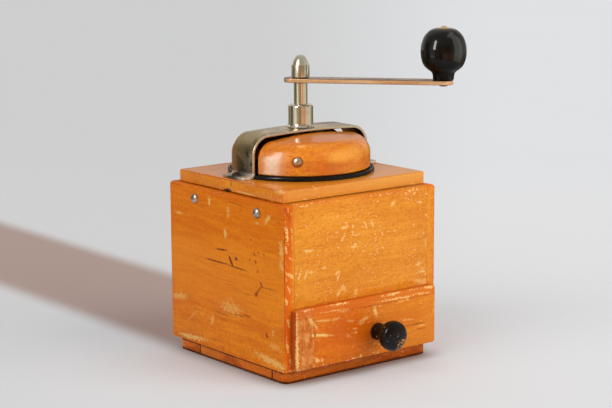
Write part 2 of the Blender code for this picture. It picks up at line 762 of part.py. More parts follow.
def build_crank():
    """The shaft with its arm, nut and grip, turned to where the arm points."""
    turning = axis_empty("crank_turn", (0, 0, 0), arm_angle)
    shaft_end = arm_bottom - gap
    tenon = shaft_tenon_radius
    above = arm_top + nut_height / 2
    profile = [(0, above), (tenon, above), (tenon, shaft_end), (shaft_radius, shaft_end),
               (shaft_radius, burr_top), (shaft_pin_radius, burr_top),
               (shaft_pin_radius, shaft_bottom), (0, shaft_bottom)]
    shaft = turned("crank_shaft", profile, bright_nickel, steps=small_steps)

    outline = arc((arm_reach, 0), arm_tip_width / 2, -math.pi / 2, math.pi / 2, 8)
    outline += arc((-arm_tail + arm_width / 2, 0), arm_width / 2, math.pi / 2,
                   math.pi * 3 / 2, 8)
    holes = [arc((0, 0), tenon + gap, 0, math.tau, small_steps)[:-1],
             arc((arm_reach, 0), spindle_radius + gap, 0, math.tau, screw_steps)[:-1]]
    arm = flat_plate("crank_arm", outline, holes, arm_thickness, bright_nickel)
    arm.location = (0, 0, arm_bottom + arm_thickness / 2)

    skirt = nut_height * nut_skirt_share
    tip = nut_radius * nut_tip_share
    crown = [(tip + (nut_radius - tip) * across, arm_top + gap + skirt + (nut_height - skirt) * up)
             for across, up in arc((0, 0), 1, math.pi / 2, 0, 5)]
    hollow = tenon + gap
    hollow_top = above + gap
    profile = [(0, arm_top + gap + nut_height)] + crown + [
        (nut_radius, arm_top + gap), (hollow, arm_top + gap), (hollow, hollow_top),
        (0, hollow_top)]
    nut = turned("acorn_nut", profile, bright_nickel, steps=small_steps)

    spinning = axis_empty("knob_spin", (arm_reach, 0, grip_bottom), parent=turning)
    spindle_bottom = arm_bottom - gap
    grip_top = grip_bottom + grip_height
    profile = [(0, grip_top), (spindle_radius, grip_top), (spindle_radius, spindle_bottom),
               (spindle_head_radius, spindle_bottom),
               (spindle_head_flat_radius, spindle_bottom - spindle_head_height),
               (0, spindle_bottom - spindle_head_height)]
    spindle = turned("knob_spindle", profile, bright_nickel, steps=screw_steps,
                     where=(arm_reach, 0, 0))

    bore = spindle_radius + gap
    # Each pair is a share of the grip's radius and a share of its height.
    grip_shares = ((0.40, 0.985), (0.60, 0.95), (0.77, 0.895), (0.90, 0.81), (0.975, 0.70),
                   (1.0, 0.58), (0.985, 0.47), (0.93, 0.36), (0.80, 0.245), (0.62, 0.165),
                   (0.49, 0.105))
    side = [(grip_radius * across, grip_height * up) for across, up in grip_shares]
    profile = [(bore, grip_height)] + side + [
        (grip_neck_radius, grip_neck_height), (grip_neck_radius, 0), (bore, 0)]
    grip = turned("crank_knob", profile, black_lacquer, closed=True, steps=round_steps,
                  where=(0, 0, 0), parent=spinning)
    for piece in (shaft, arm, nut, spindle):
        piece.parent = turning
    return turning, grip


def flat_plate(name, outline, holes, thickness, material):
    """A flat plate as a filled curve, with its holes as inner outlines."""
    curve = bpy.data.curves.new(name, "CURVE")
    curve.dimensions = "2D"
    curve.fill_mode = "BOTH"
    curve.extrude = thickness / 2
    for ring in (outline, *holes):
        spline = curve.splines.new("POLY")
        spline.points.add(len(ring) - 1)
        spline.use_cyclic_u = True
        for point, (x, y) in zip(spline.points, ring):
            point.co = (x, y, 0, 1)
    piece = bpy.data.objects.new(name, curve)
    parts.objects.link(piece)
    curve.materials.append(material)
    return piece


def build_grinder(partition, turning):
    """The burrs, the saddle under them and the screw that sets how fine they grind."""
    cone_bottom = burr_bottom + cone_end_inset
    cone_height = burr_top - cone_end_inset - burr_throat_depth / 2 - cone_bottom
    cone = place("inner_burr",
                 star_mesh("inner_burr", cone_teeth, cone_bottom_radius, cone_top_radius,
                           cone_height, cone_tooth_depth, cone_twist),
                 cast_iron, (0, 0, cone_bottom))
    bore = drill("inner_burr_bore", shaft_pin_radius + gap, -overrun, cone_height + overrun,
                 (0, 0, cone_bottom), steps=small_steps)
    cut(cone, bore)
    keep_place(cone, turning)

    flange_top = partition_top + gap + burr_flange_thickness
    flange_bottom = partition_top + gap
    mill_bore_bottom = cone_bottom_radius + grinding_gap
    mill_bore_top = cone_top_radius + grinding_gap
    slope = (mill_bore_bottom - mill_bore_top) / cone_height
    throat_bottom = burr_top - burr_throat_depth
    bore_at_throat = mill_bore_bottom - slope * (throat_bottom - cone_bottom)
    profile = [
        (burr_throat_radius, burr_top), (burr_body_radius, burr_top),
        (burr_body_radius, flange_top), (burr_flange_radius, flange_top),
        (burr_flange_radius, flange_bottom), (burr_body_radius, flange_bottom),
        (burr_body_radius, burr_bottom), (mill_bore_bottom, burr_bottom),
        (mill_bore_bottom, cone_bottom), (bore_at_throat, throat_bottom)]
    housing = turned("outer_burr", profile, cast_iron, closed=True)
    hole = drill("burr_hole", burr_body_radius + running_gap,
                 partition_bottom - overrun, partition_top + overrun, (0, 0, 0),
                 steps=round_steps)
    cut(partition, hole)

    profile = screw_profile(burr_screw_head_radius, burr_screw_head_height, burr_screw_radius,
                            burr_screw_length)
    for number in range(burr_screw_count):
        angle = math.tau * (number + burr_screw_start_share) / burr_screw_count
        where = (burr_screw_circle * math.cos(angle), burr_screw_circle * math.sin(angle),
                 flange_top + gap)
        turned(f"burr_screw_{number + 1}", profile, screw_steel, steps=screw_steps, where=where)
        screw_hole = drill("burr_screw_hole", burr_screw_radius + gap,
                           -burr_screw_length - gap, overrun, where)
        cut(housing, screw_hole)
        cut(partition, screw_hole)

    foot_bottom = partition_bottom - gap
    bend = saddle_bend_radius
    foot_end = saddle_half_span + saddle_foot_length
    right = [(0, saddle_bar_top)]
    right += arc((saddle_half_span - bend, saddle_bar_top + bend), bend, -math.pi / 2, 0, 3)
    right += arc((saddle_half_span + bend, foot_bottom - bend), bend, math.pi, math.pi / 2, 3)
    right.append((foot_end, foot_bottom))
    left = [(-x, z) for x, z in right[:0:-1]]
    saddle = bent_strip("burr_saddle", left + right, saddle_width, saddle_thickness, cast_iron)
    profile = screw_profile(burr_screw_head_radius, burr_screw_head_height, burr_screw_radius,
                            saddle_screw_length)
    for name, side in (("left_saddle_screw", -1), ("right_saddle_screw", 1)):
        where = (side * (foot_end - saddle_screw_inset), 0, foot_bottom - saddle_thickness - gap)
        turned(name, profile, screw_steel, steps=screw_steps, where=where, turn=(math.pi, 0, 0))
        screw_hole = drill("saddle_screw_hole", burr_screw_radius + gap,
                           -saddle_screw_length - gap, overrun, where, (math.pi, 0, 0))
        cut(saddle, screw_hole)
        cut(partition, screw_hole)

    bar_hole = drill("setting_hole", setting_screw_radius + gap,
                     setting_screw_bottom, setting_screw_top, (0, 0, 0), steps=small_steps)
    cut(saddle, bar_hole)
    profile = [(0, setting_screw_top), (setting_screw_radius, setting_screw_top),
               (setting_screw_radius, setting_screw_bottom), (0, setting_screw_bottom)]
    turned("setting_screw", profile, screw_steel, steps=small_steps)
    nut = place("setting_nut",
                star_mesh("setting_nut", setting_nut_teeth, setting_nut_radius,
                          setting_nut_radius, setting_nut_height, setting_nut_tooth_depth),
                screw_steel, (0, 0, setting_nut_bottom))
    cut(nut, bar_hole)


build_plinth()
left_board, right_board, partition_board = build_case()
top_board, top_cleats = build_lid()
build_side_screws((left_board, right_board), top_cleats)
build_drawer()
build_hopper()
build_dome()
build_bridge(top_board)
crank_turn, crank_grip = build_crank()
build_grinder(partition_board, crank_turn)
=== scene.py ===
import math
import bpy
from mathutils import Matrix, Vector


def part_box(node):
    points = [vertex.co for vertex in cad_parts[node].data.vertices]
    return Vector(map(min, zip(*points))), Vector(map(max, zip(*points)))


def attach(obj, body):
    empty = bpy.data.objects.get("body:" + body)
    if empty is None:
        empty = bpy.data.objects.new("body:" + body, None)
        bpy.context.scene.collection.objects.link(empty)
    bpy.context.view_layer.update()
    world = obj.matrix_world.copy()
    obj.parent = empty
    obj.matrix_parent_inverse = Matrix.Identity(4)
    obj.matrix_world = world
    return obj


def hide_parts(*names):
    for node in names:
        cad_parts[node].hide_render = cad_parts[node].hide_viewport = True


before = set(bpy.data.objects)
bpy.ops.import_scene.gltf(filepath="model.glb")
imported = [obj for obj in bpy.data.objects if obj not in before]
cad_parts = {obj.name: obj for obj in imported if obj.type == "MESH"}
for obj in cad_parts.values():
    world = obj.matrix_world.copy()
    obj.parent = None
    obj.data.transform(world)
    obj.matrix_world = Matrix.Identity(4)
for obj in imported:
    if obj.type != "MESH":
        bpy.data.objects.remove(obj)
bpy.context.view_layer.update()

# Plinth. A beech panel with a batten across each end, glued, varnished with the box and a good deal
# redder and more rubbed than the walls. It carries the four walls.


class Recipe:
    """A shader tree written step by step, each socket linked to an earlier step or set."""

    def __init__(self, tree, place=None):
        self.tree = tree
        self.place = place

    def fill(self, socket, value):
        if isinstance(value, bpy.types.NodeSocket):
            self.tree.links.new(value, socket)
        else:
            socket.default_value = (*value, 1) if socket.type == "RGBA" else value

    def step(self, kind, sockets=(), **settings):
        """A new step; what it gives comes back."""
        node = self.tree.nodes.new("ShaderNode" + kind)
        for setting, value in settings.items():
            setattr(node, setting, value)
        for name, value in dict(sockets).items():
            self.fill(node.inputs[name], value)
        return node.outputs

    def sums(self, operation, *values, clamp=False):
        return self.step("Math", enumerate(values), operation=operation, use_clamp=clamp)[0]

    def times(self, first, *others):
        for other in others:
            first = self.sums("MULTIPLY", first, other)
        return first

    def scaled(self, value, by, add):
        return self.sums("MULTIPLY_ADD", value, by, add)

    def off(self, value, middle=0):
        """How far a value is from a middle one."""
        return self.sums("ABSOLUTE", self.sums("SUBTRACT", value, middle))

    def vector(self, operation, *values):
        return self.step("VectorMath", enumerate(values), operation=operation)

    def fade(self, value, low, high):
        """0 on the low side and 1 on the high one, smooth in between."""
        return self.step("MapRange", {0: value, 1: low, 2: high}, interpolation_type="SMOOTHSTEP")[0]

    def spots(self, scale, detail=2, roughness=0.5, stretch=(1, 1, 1), place=None):
        """A cloudy value over the place, drawn out along each axis as the stretch says."""
        drawn = self.vector("MULTIPLY", place or self.place, [scale * part for part in stretch])[0]
        return self.step("TexNoise", {"Vector": drawn, "Scale": 1, "Detail": detail,
                                      "Roughness": roughness})[0]

    def tint(self, share, first, second):
        return self.step("Mix", {0: share, 6: first, 7: second}, data_type="RGBA")[2]


class Finish(Recipe):
    """A material that is painted coat over coat."""

    def __init__(self, name):
        self.material = bpy.data.materials.new(name)
        self.material.use_nodes = True
        super().__init__(self.material.node_tree)
        self.shader = self.tree.nodes["Principled BSDF"]
        self.place = self.step("TexCoord")["Object"]
        self.x, self.y, self.z = self.step("SeparateXYZ", {0: self.place})

    def give(self, **looks):
        """Set or link the shader's own sockets."""
        for look, value in looks.items():
            self.fill(self.shader.inputs[look.replace("_", " ")], value)

    def paint(self, colour, *masks):
        """A coat over the colour so far, as thick as the masks' product: each one is a share, or a
        value and the ends that it fades between."""
        base = self.shader.inputs["Base Color"]
        share = self.times(*(self.fade(*mask) if isinstance(mask, tuple) else mask for mask in masks))
        self.fill(base, self.tint(share, base.links[0].from_socket, colour))

    def bump(self, height, strength, distance=0.0003):
        self.give(Normal=self.step("Bump", {"Height": height, "Strength": strength,
                                            "Distance": distance})[0])


def new_group(name, wanted, given):
    """A group of steps that several finishes share, with what goes in and what comes out."""
    group = bpy.data.node_groups.new(name, "ShaderNodeTree")
    for label, kind in wanted.items():
        group.interface.new_socket(label, in_out="INPUT", socket_type="NodeSocket" + kind)
    for label in given:
        group.interface.new_socket(label, in_out="OUTPUT", socket_type="NodeSocketFloat")
    entry = group.nodes.new("NodeGroupInput").outputs
    return Recipe(group, entry[0]), entry, group.nodes.new("NodeGroupOutput").inputs


# Beech: tone that runs in long bands with the grain, fine streaks, and the short dark flecks of rays.
beech, entry, leave = new_group("beech figure", {"Grain": "Vector", "Seed": "Float"},
                                ("Bands", "Streaks", "Flecks", "Mottle", "Height"))
shifted = beech.vector("MULTIPLY", (0.37, 0.61, 0.83), entry["Seed"])[0]
grain = beech.vector("ADD", entry["Grain"], shifted)[0]
sway = beech.scaled(beech.spots(11, place=grain), 0.016, -0.008)
grain = beech.vector("ADD", grain, beech.step("CombineXYZ", {1: sway, 2: sway})[0])[0]
figure = {}
for name, scale, drawn, detail, roughness, low, high in (
        ("Bands", 44, 0.1, 3, 0.5, 0.32, 0.68), ("Streaks", 360, 0.05, 4, 0.62, 0.36, 0.66),
        ("Flecks", 1250, 0.2, 1.5, 0.5, 0.55, 0.7), ("Mottle", 620, 0.7, 2, 0.6, 0.48, 0.7)):
    figure[name] = beech.fade(beech.spots(scale, detail, roughness, (drawn, 1, 1), grain), low, high)
    beech.fill(leave[name], figure[name])
beech.fill(leave["Height"], beech.scaled(figure["Flecks"], -0.6, figure["Streaks"]))

# Rubbed varnish: bare patches that are densest near a board's arrises, and small chips all over.
rubbed, entry, leave = new_group(
    "rubbed varnish", {"Place": "Vector", "Grain": "Vector", "Middle": "Vector", "Half": "Vector",
                       "Reach": "Float", "Arris": "Float", "Chips": "Float"}, ("Bare", "Halo", "Edge"))
offset = rubbed.vector("ABSOLUTE", rubbed.vector("SUBTRACT", entry["Place"], entry["Middle"])[0])[0]
x, y, z = rubbed.step("SeparateXYZ", {0: rubbed.vector("SUBTRACT", entry["Half"], offset)[0]})
nearer = rubbed.sums("MINIMUM", rubbed.sums("MAXIMUM", x, y), z)
to_arris = rubbed.sums("MAXIMUM", rubbed.sums("MINIMUM", x, y), nearer)
closeness = rubbed.sums("SUBTRACT", 1, rubbed.sums("DIVIDE", to_arris, entry["Reach"]), clamp=True)
patchy = rubbed.fade(rubbed.spots(60), 0.4, 0.7)
at_arris = rubbed.times(rubbed.sums("POWER", closeness, 2), entry["Arris"], patchy)
where = rubbed.times(rubbed.fade(rubbed.spots(42), 0.2, 0.8), entry["Chips"])
small = rubbed.spots(560, 2.5, 0.6, (0.7, 1, 1), entry["Grain"])
amount = rubbed.sums("ADD", small, rubbed.sums("ADD", at_arris, where))
rubbed.fill(leave["Bare"], rubbed.fade(amount, 0.7, 0.79))
rubbed.fill(leave["Halo"], rubbed.fade(amount, 0.54, 0.7))
worn_edge = rubbed.times(rubbed.sums("POWER", closeness, 1.4), rubbed.scaled(patchy, 0.7, 0.3))
rubbed.fill(leave["Edge"], worn_edge)


def figured(wood, turn, seed):
    """The wood's grain along the X axis of the turned place."""
    along = wood.step("Mapping", {"Vector": wood.place, "Rotation": turn})[0]
    return along, wood.step("Group", {"Grain": along, "Seed": seed}, node_tree=beech.tree)


def varnished(name, middle, half, turn, deep, pale, seed, reach=0.006, arris=0.2, chips=0.1,
              bare=(0.88, 0.55, 0.19), coat=0.25, gloss=0.22, streak=0.32, front_end=None):
    """Varnished beech, deeper and paler in bands, with its rubbed spots."""
    wood = Finish(name)
    along, grain = figured(wood, turn, seed)
    worn = wood.step("Group", {"Place": wood.place, "Grain": along, "Middle": middle, "Half": half,
                               "Reach": reach, "Arris": arris, "Chips": chips}, node_tree=rubbed.tree)
    tone = wood.sums("MULTIPLY_ADD", grain["Bands"], 0.55, wood.scaled(wood.spots(17), 0.9, -0.22),
                     clamp=True)
    wood.give(Base_Color=wood.tint(tone, deep, pale))
    if front_end:
        pores = wood.scaled(wood.spots(420, 3, stretch=(1, 1, 0.35)), 0.5, 0.62)
        wood.paint(front_end, pores, (wood.y, -0.0647, -0.0649))
    redder = (deep[0] * 0.86, deep[1] * 0.6, deep[2] * 0.4)
    darker = (deep[0] * 0.6, deep[1] * 0.4, deep[2] * 0.3)
    stained = (0.58, 0.085, 0.003)
    for colour, mask, share in (
            (redder, grain["Streaks"], streak), (redder, grain["Mottle"], streak),
            (darker, grain["Flecks"], 0.35), (stained, worn["Edge"], 0.5),
            (stained, worn["Halo"], 0.32), (bare, worn["Bare"], 0.72)):
        wood.paint(colour, mask, share)
    wood.give(Coat_Weight=wood.scaled(worn["Bare"], -0.8 * coat, coat), Coat_Roughness=gloss,
              Roughness=wood.scaled(worn["Bare"], 0.2, 0.55), Specular_IOR_Level=0.03)
    wood.bump(wood.scaled(worn["Bare"], -1.6, grain["Height"]), 0.16)
    return wood


def clear():
    bpy.ops.object.select_all(action="DESELECT")


def leave_edit():
    bpy.ops.object.mode_set(mode="OBJECT")


def pick(piece, kind, wanted):
    """Go into edit mode with only the edges or faces selected whose middle and direction are wanted."""
    bpy.ops.object.mode_set(mode="EDIT")
    bpy.ops.mesh.select_mode(type=kind)
    bpy.ops.mesh.select_all(action="DESELECT")
    leave_edit()
    if kind == "FACE":
        for side in piece.data.polygons:
            side.select = wanted(side.center, side.normal)
    else:
        for edge in piece.data.edges:
            first, second = (piece.data.vertices[corner].co for corner in edge.vertices)
            edge.select = wanted((first + second) / 2, (second - first).normalized())
    bpy.ops.object.mode_set(mode="EDIT")


def round_off(piece, wanted, radius, steps, what="EDGES"):
    """Round the wanted edges, or the corners at their ends."""
    pick(piece, "EDGE", wanted)
    bpy.ops.mesh.bevel(offset=radius, segments=steps, affect=what)
    leave_edit()


def smooth():
    bpy.ops.object.shade_smooth_by_angle(angle=math.radians(35))


def work(piece, kind, **settings):
    """A modifier, applied at once."""
    step = piece.modifiers.new(kind, kind)
    for setting, value in settings.items():
        setattr(step, setting, value)
    bpy.ops.object.modifier_apply(modifier=kind)


def ease(piece, width, steps=2, sharper_than=30):
    """Take the sharpness off every arris and smooth what lies between."""
    work(piece, "BEVEL", width=width, segments=steps, limit_method="ANGLE",
         angle_limit=math.radians(sharper_than))
    smooth()


def settle(piece, place=(0, 0, 0), turn=(0, 0, 0)):
    """Move and turn a piece, and keep that in its mesh."""
    piece.location, piece.rotation_euler = place, turn
    bpy.ops.object.transform_apply()


def named(name):
    """The piece just added, under its own name."""
    bpy.context.object.name = name
    return bpy.context.object


def block(name, low, high, turn=0):
    """A block of wood or metal between two corners."""
    clear()
    bpy.ops.mesh.primitive_cube_add(size=1, location=[(a + b) / 2 for a, b in zip(low, high)],
                                    rotation=(0, 0, turn), scale=[b - a for a, b in zip(low, high)])
    bpy.ops.object.transform_apply()
    return named(name)


def board(name, low, high, wanted=None, radius=0, eased=0.0004):
    """A planed board between two corners, with the chosen arrises rounded over."""
    piece = block(name, low, high)
    if wanted:
        round_off(piece, wanted, radius, 6)
    ease(piece, eased)
    return piece


def dress(piece, finish, body, slot, *nodes):
    """Give a finished piece its material, and seat it in the frame."""
    piece.data.materials.clear()
    piece.data.materials.append(finish.material)
    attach(piece, body)
    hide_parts(*nodes)


along_x = (0, 0, 0)
along_y = (0, 0, -math.pi / 2)
plinth_low, plinth_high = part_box("base_front_batten")[0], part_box("base_rear_batten")[1]
joints = (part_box("base_front_batten")[1].y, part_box("base_rear_batten")[0].y)
for node, seed, end in (("base_panel", 1, 0), ("base_front_batten", 2, -1),
                        ("base_rear_batten", 3, 1)):
    low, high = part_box(node)
    far = low.y if end < 0 else high.y
    piece = board(node.replace("base_", "plinth_"), low, high,
                  lambda at, way: end and abs(way.z) > 0.9 and abs(at.y - far) < 0.001, 0.0045)
    wood = varnished(node.replace("_", " "), (plinth_low + plinth_high) / 2,
                     (plinth_high - plinth_low) / 2, along_x if end else along_y, (0.48, 0.105, 0.005),
                     (0.72, 0.22, 0.018), seed, 0.005, 0.2, 0.08, (0.74, 0.42, 0.17), streak=0.5)
    ragged = wood.scaled(wood.spots(300, 3), 0.001, -0.0005)
    height = wood.sums("ADD", wood.z, ragged)
    # Dark lines: a seam line just below the top, the glue joints at the battens, and along the foot a
    # line of painted contact shade on the floor.
    seams_and_contact_shade = wood.sums("MAXIMUM", wood.fade(height, high.z - 0.0025, high.z - 0.0013),
                      wood.fade(height, 0.0024, 0.0008))
    for joint in joints:
        apart = wood.sums("ABSOLUTE", wood.sums("ADD", wood.sums("SUBTRACT", wood.y, joint), ragged))
        seams_and_contact_shade = wood.sums("MAXIMUM", seams_and_contact_shade, wood.fade(apart, 0.001, 0.0004))
    for scale, start, full, share, colour in ((70, 0.5, 0.66, 0.6, (0.26, 0.036, 0.003)),
                                              (110, 0.62, 0.72, 0.5, (0.8, 0.42, 0.1))):
        wood.paint(colour, (wood.spots(scale, 4, 0.6, (0.6, 0.6, 1.6)), start, full), share)
    wood.paint((0.045, 0.01, 0.002), seams_and_contact_shade, 0.92)
    dress(piece, wood, "case", "varnished_beech", node)

# Walls. Four 8 mm beech boards: the sides run the full depth and the front and back stand between
# them. The front is paler than the left side, and the varnish is chipped at the arrises.
dark_mark = (0.15, 0.024, 0.002)
pale_mark = (0.84, 0.52, 0.17)

# One stroke on a surface, given by its middle, its turn and its size, with ragged sides and faint
# ends: a scratch or a worn line.
stroke, entry, leave = new_group(
    "stroke", {"Place": "Vector", "Rough": "Float", "Middle": "Vector", "Turn": "Vector",
               "Size": "Vector", "Strength": "Float", "Before": "Float"}, ("Mask",))
within = stroke.step("Mapping", {"Vector": entry["Place"], "Location": entry["Middle"],
                                 "Rotation": entry["Turn"], "Scale": entry["Size"]},
                     vector_type="TEXTURE")[0]
apart = stroke.sums("ADD", stroke.vector("LENGTH", within)[1], entry["Rough"])
mask = stroke.times(stroke.fade(apart, 0.75, 0.35), entry["Strength"])
stroke.fill(leave["Mask"], stroke.sums("MAXIMUM", mask, entry["Before"]))


def marks(wood, colour, ragged, strokes, **face):
    """Scratches or worn lines in millimetres: each one's two ends, its width and its strength.

    On a face that looks along an axis, that axis is given once, as in x=-65, and not for each end.
    """
    rough = wood.scaled(wood.spots(900), ragged, -ragged / 2)
    mask = 0
    for *ends, width, strength in strokes:
        ends = [ends[:len(ends) // 2], ends[len(ends) // 2:]]
        for axis, at in face.items():
            for end in ends:
                end.insert("xyz".index(axis), at)
        start, end = (Vector(end) / 1000 for end in ends)
        width /= 1000
        mask = wood.step("Group", {
            "Place": wood.place, "Rough": rough, "Middle": (start + end) / 2,
            "Turn": (end - start).to_track_quat("X", "Z").to_euler(),
            "Size": ((end - start).length * 0.91 + width, width, width), "Strength": strength,
            "Before": mask}, node_tree=stroke.tree)["Mask"]
    wood.paint(colour, mask)


case_half = 0.065


def side_wall(node):
    """A side board, rounded over along its outer face and its ends' tops."""
    low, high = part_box(node)
    outer = max(-low.x, high.x)
    return board(node.replace("board", "wall"), low, high,
                 lambda at, way: (abs(at.x) > outer - 0.0001 and at.z > middle.z - 0.001)
                 or (at.z > high.z - 0.0001 and abs(way.x) > 0.9), 0.0024)


def wall_varnish(name, turn, *looks, **more):
    return varnished(name + " wall varnish", (0, 0, middle.z), (case_half, case_half, half.z), turn,
                     *looks, **more)


low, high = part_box("left_board")
middle, half = (low + high) / 2, (high - low) / 2
left_side = side_wall("left_board")
wood = wall_varnish("left", along_y, (0.64, 0.16, 0.003), (0.8, 0.285, 0.009), 4, 0.008, 0.2, -0.05,
                    coat=0.2, streak=0.55, front_end=(0.64, 0.115, 0.004))
# Darker clouds toward the bottom, redder toward the top and a paler band between them.
low_dark_clouds = wood.fade(wood.spots(21, 3, stretch=(1, 0.8, 1)), 0.44, 0.66)
wood.paint((0.42, 0.085, 0.006), low_dark_clouds, (wood.z, 0.085, 0.035), 0.34)
wood.paint((0.58, 0.11, 0.002), (wood.z, 0.078, 0.1), 0.4)
wood.paint((0.8, 0.28, 0.01), (wood.z, 0.034, 0.052), 0.3, (wood.z, 0.092, 0.076))
hairs = wood.fade(wood.spots(500, 3, 0.6, (1, 0.05, 1)), 0.6, 0.72)
wood.paint((0.34, 0.06, 0.003), hairs, 0.45)
marks(wood, dark_mark, 1, (
    (22.4, 70.9, -2.1, 70.8, 1.1, 0.85), (-4.3, 70.5, -23.1, 70.1, 1.1, 0.75),
    (-4.8, 76.7, -9.2, 70.7, 1.9, 1), (-12.1, 76.7, -13.5, 76.1, 2.2, 0.9),
    (9.8, 79.4, -2.4, 80.4, 1.2, 0.85), (-39.4, 64.6, -41.4, 62.1, 1.5, 0.8),
    (-41.4, 62.1, -55.4, 62.6, 0.8, 0.5), (-40, 62.3, -34.5, 56.2, 1.2, 0.6),
    (-34.9, 56.9, -34.3, 55.6, 2.6, 0.8), (-32.9, 82.6, -33.4, 82.3, 1.3, 0.7),
    (-37, 84.6, -37.5, 84.3, 1.2, 0.6), (-43.1, 83.9, -43.4, 83.7, 1.1, 0.7),
    (-27.4, 78, -27.9, 78, 1.2, 0.6), (-34, 78, -34.6, 77.5, 1.5, 0.8),
    (-28.9, 92, -29.4, 91.8, 1.2, 0.6), (-36.8, 72.1, -36.2, 71.4, 1.4, 0.7),
    (-21.1, 39.8, -26.7, 40, 1.2, 0.6), (-45.3, 31.5, -45.9, 30.6, 2, 0.8),
    (-18.8, 111.6, -18.8, 108.7, 0.7, 0.5), (-5.9, 113.5, -19.8, 113, 0.8, 0.55),
    (-8, 38, -20, 38.5, 1, 0.6), (14, 36.5, -3, 35.5, 0.9, 0.5)), x=-65)
marks(wood, (0.72, 0.42, 0.11), 2.2, (
    (16.9, 112, 17.2, 109.9, 2.6, 0.8), (-4.4, 109.1, -4.3, 104.9, 2.2, 0.5),
    (-49.4, 109.9, -46.1, 106.1, 2.6, 0.75), (-0.5, 92.8, -0.9, 90.5, 2.8, 0.85),
    (55.1, 97.7, 50.6, 97.7, 1.6, 0.6), (58.4, 38.2, 48.4, 39.4, 3.6, 0.6),
    (14.7, 30.6, 15.4, 27.9, 2.8, 0.6), (44.6, 24, 32.3, 32.5, 1.2, 0.35),
    (51.5, 12, 27.3, 13.4, 2.8, 0.9), (-39.3, 15.8, -62.3, 13, 4.2, 0.8),
    (-52.3, 35.5, -52, 32.5, 1.8, 0.6), (-34.6, 103.6, -38, 103.7, 1.6, 0.5),
    (2, 41.5, -14.5, 42, 5, 0.42), (-61.5, 93, -62, 86, 3, 0.7), (-61, 82, -61.6, 78, 3, 0.6),
    (-58, 24, -50, 25, 3, 0.4), (2, 39, -3.5, 46.5, 1.1, 0.6), (-3, 46, -8.5, 38.5, 1.1, 0.6),
    (-7.5, 47, -14.5, 39, 1.2, 0.65), (3, 40, -13, 38, 1, 0.5)), x=-65)
marks(wood, (0.05, 0.018, 0.006), 1.6, ((-64.2, -64.2, 13, -64.3, -64.2, 107, 0.55, 0.8),))
marks(wood, (0.72, 0.08, 0.002), 1.2, ((-62.6, 98, -62.7, 12, 3.4, 0.6),), y=-65)
marks(wood, pale_mark, 2.2, (
    (-63.4, 105, -62.4, 97, 1.6, 0.8), (-61.6, 74, -57.6, 71.8, 2, 0.8),
    (-63.8, 92, -63.2, 89, 1.4, 0.7), (-62, 66, -61, 63, 1.4, 0.6), (-63.6, 58, -63, 54.5, 1.5, 0.7),
    (-60.5, 84.5, -59, 83.5, 1.2, 0.5), (-62.5, 44, -61.8, 41, 1.3, 0.6),
    (-63, 28, -62.2, 24, 1.6, 0.7), (-61.2, 19, -60.6, 15, 1.2, 0.6),
    (-59.2, 104, -58.6, 101.5, 1, 0.5)), y=-65)
marks(wood, (0.42, 0.05, 0.01), 2, ((-64.2, -65, 117.3, -61.3, -65, 111.3, 2.2, 0.6),))
front_face = wood.fade(wood.y, -0.0645, -0.0648)
inward = wood.scaled(wood.spots(330, 3, 0.6, (1, 1, 0.5)), 0.006, wood.x)
wood.paint((0.75, 0.28, 0.024), (inward, -0.0572, -0.0538), 0.75, front_face)
flakes = wood.fade(wood.spots(430, stretch=(1, 1, 0.6)), 0.6, 0.68)
wood.paint((0.82, 0.44, 0.12), flakes, 0.5, front_face)
dress(left_side, wood, "case", "varnished_beech", "left_board")
dress(side_wall("right_board"),
      wall_varnish("right", along_y, (0.66, 0.15, 0.007), (0.82, 0.25, 0.016), 5, 0.007, 0.2, -0.05,
                   front_end=(0.76, 0.31, 0.03)), "case", "varnished_beech", "right_board")


def end_wall(node):
    """The front or the rear board, let into the sides, with its outer top arris rounded over."""
    low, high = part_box(node)
    outer, seam = max(-low.y, high.y), Vector((0.00025, 0, 0))
    return board(node.replace("board", "wall"), low - seam, high + seam,
                 lambda at, way: at.z > high.z - 0.0001 and abs(at.y) > outer - 0.0001, 0.0024, 0.0002)


front = end_wall("front_board")
wood = wall_varnish("front", along_x, (0.67, 0.225, 0.014), (0.82, 0.34, 0.032), 6, 0.007, 0.18, 0.15,
                    coat=0.3)
marks(wood, pale_mark, 2, (
    (-48.3, 87.9, -42.3, 87.2, 1.5, 0.8), (-53.5, 70.8, -52, 73.9, 1.7, 0.7),
    (-48.4, 70.5, -46.9, 73.4, 1.3, 0.6), (-46.9, 73.4, -42, 73, 1.3, 0.6),
    (-23.5, 68.5, -20.3, 70.5, 1.4, 0.7), (-21.9, 63.7, -20.3, 68, 1.4, 0.7),
    (25.5, 109.1, 27.3, 110.5, 2, 0.7), (3.2, 97.5, 2.1, 99.7, 1.6, 0.6),
    (9.1, 97.6, 8, 99.4, 1.8, 0.7), (-17.1, 99.1, -13.4, 98.9, 1.7, 0.75),
    (-8.6, 85, -5.4, 84.9, 1.8, 0.7), (49.9, 53.5, 59.1, 50.8, 4, 0.6),
    (48.7, 65.4, 50.1, 66.1, 2.4, 0.6), (-21.4, 54.8, -19.3, 57.8, 2, 0.7),
    (-15, 57.2, -17.2, 60.9, 2, 0.6), (-6.5, 52.5, -5.4, 55.7, 2.2, 0.6),
    (51.6, 60.2, 54.4, 60.2, 2, 0.6), (56.5, 81.2, 57, 77, 2.4, 0.5),
    (-33.9, 74.6, -31.3, 74.6, 1.4, 0.6)), y=-65)
dress(front, wood, "case", "varnished_beech", "front_board")
dress(end_wall("rear_board"),
      wall_varnish("rear", along_x, (0.66, 0.17, 0.008), (0.82, 0.27, 0.018), 7, 0.007, 0.2, -0.05),
      "case", "varnished_beech", "rear_board")

# Inner boards. The floor under the drawer, the partition that carries the burrs and the two cleats
# under the top board are bare beech, glued in.


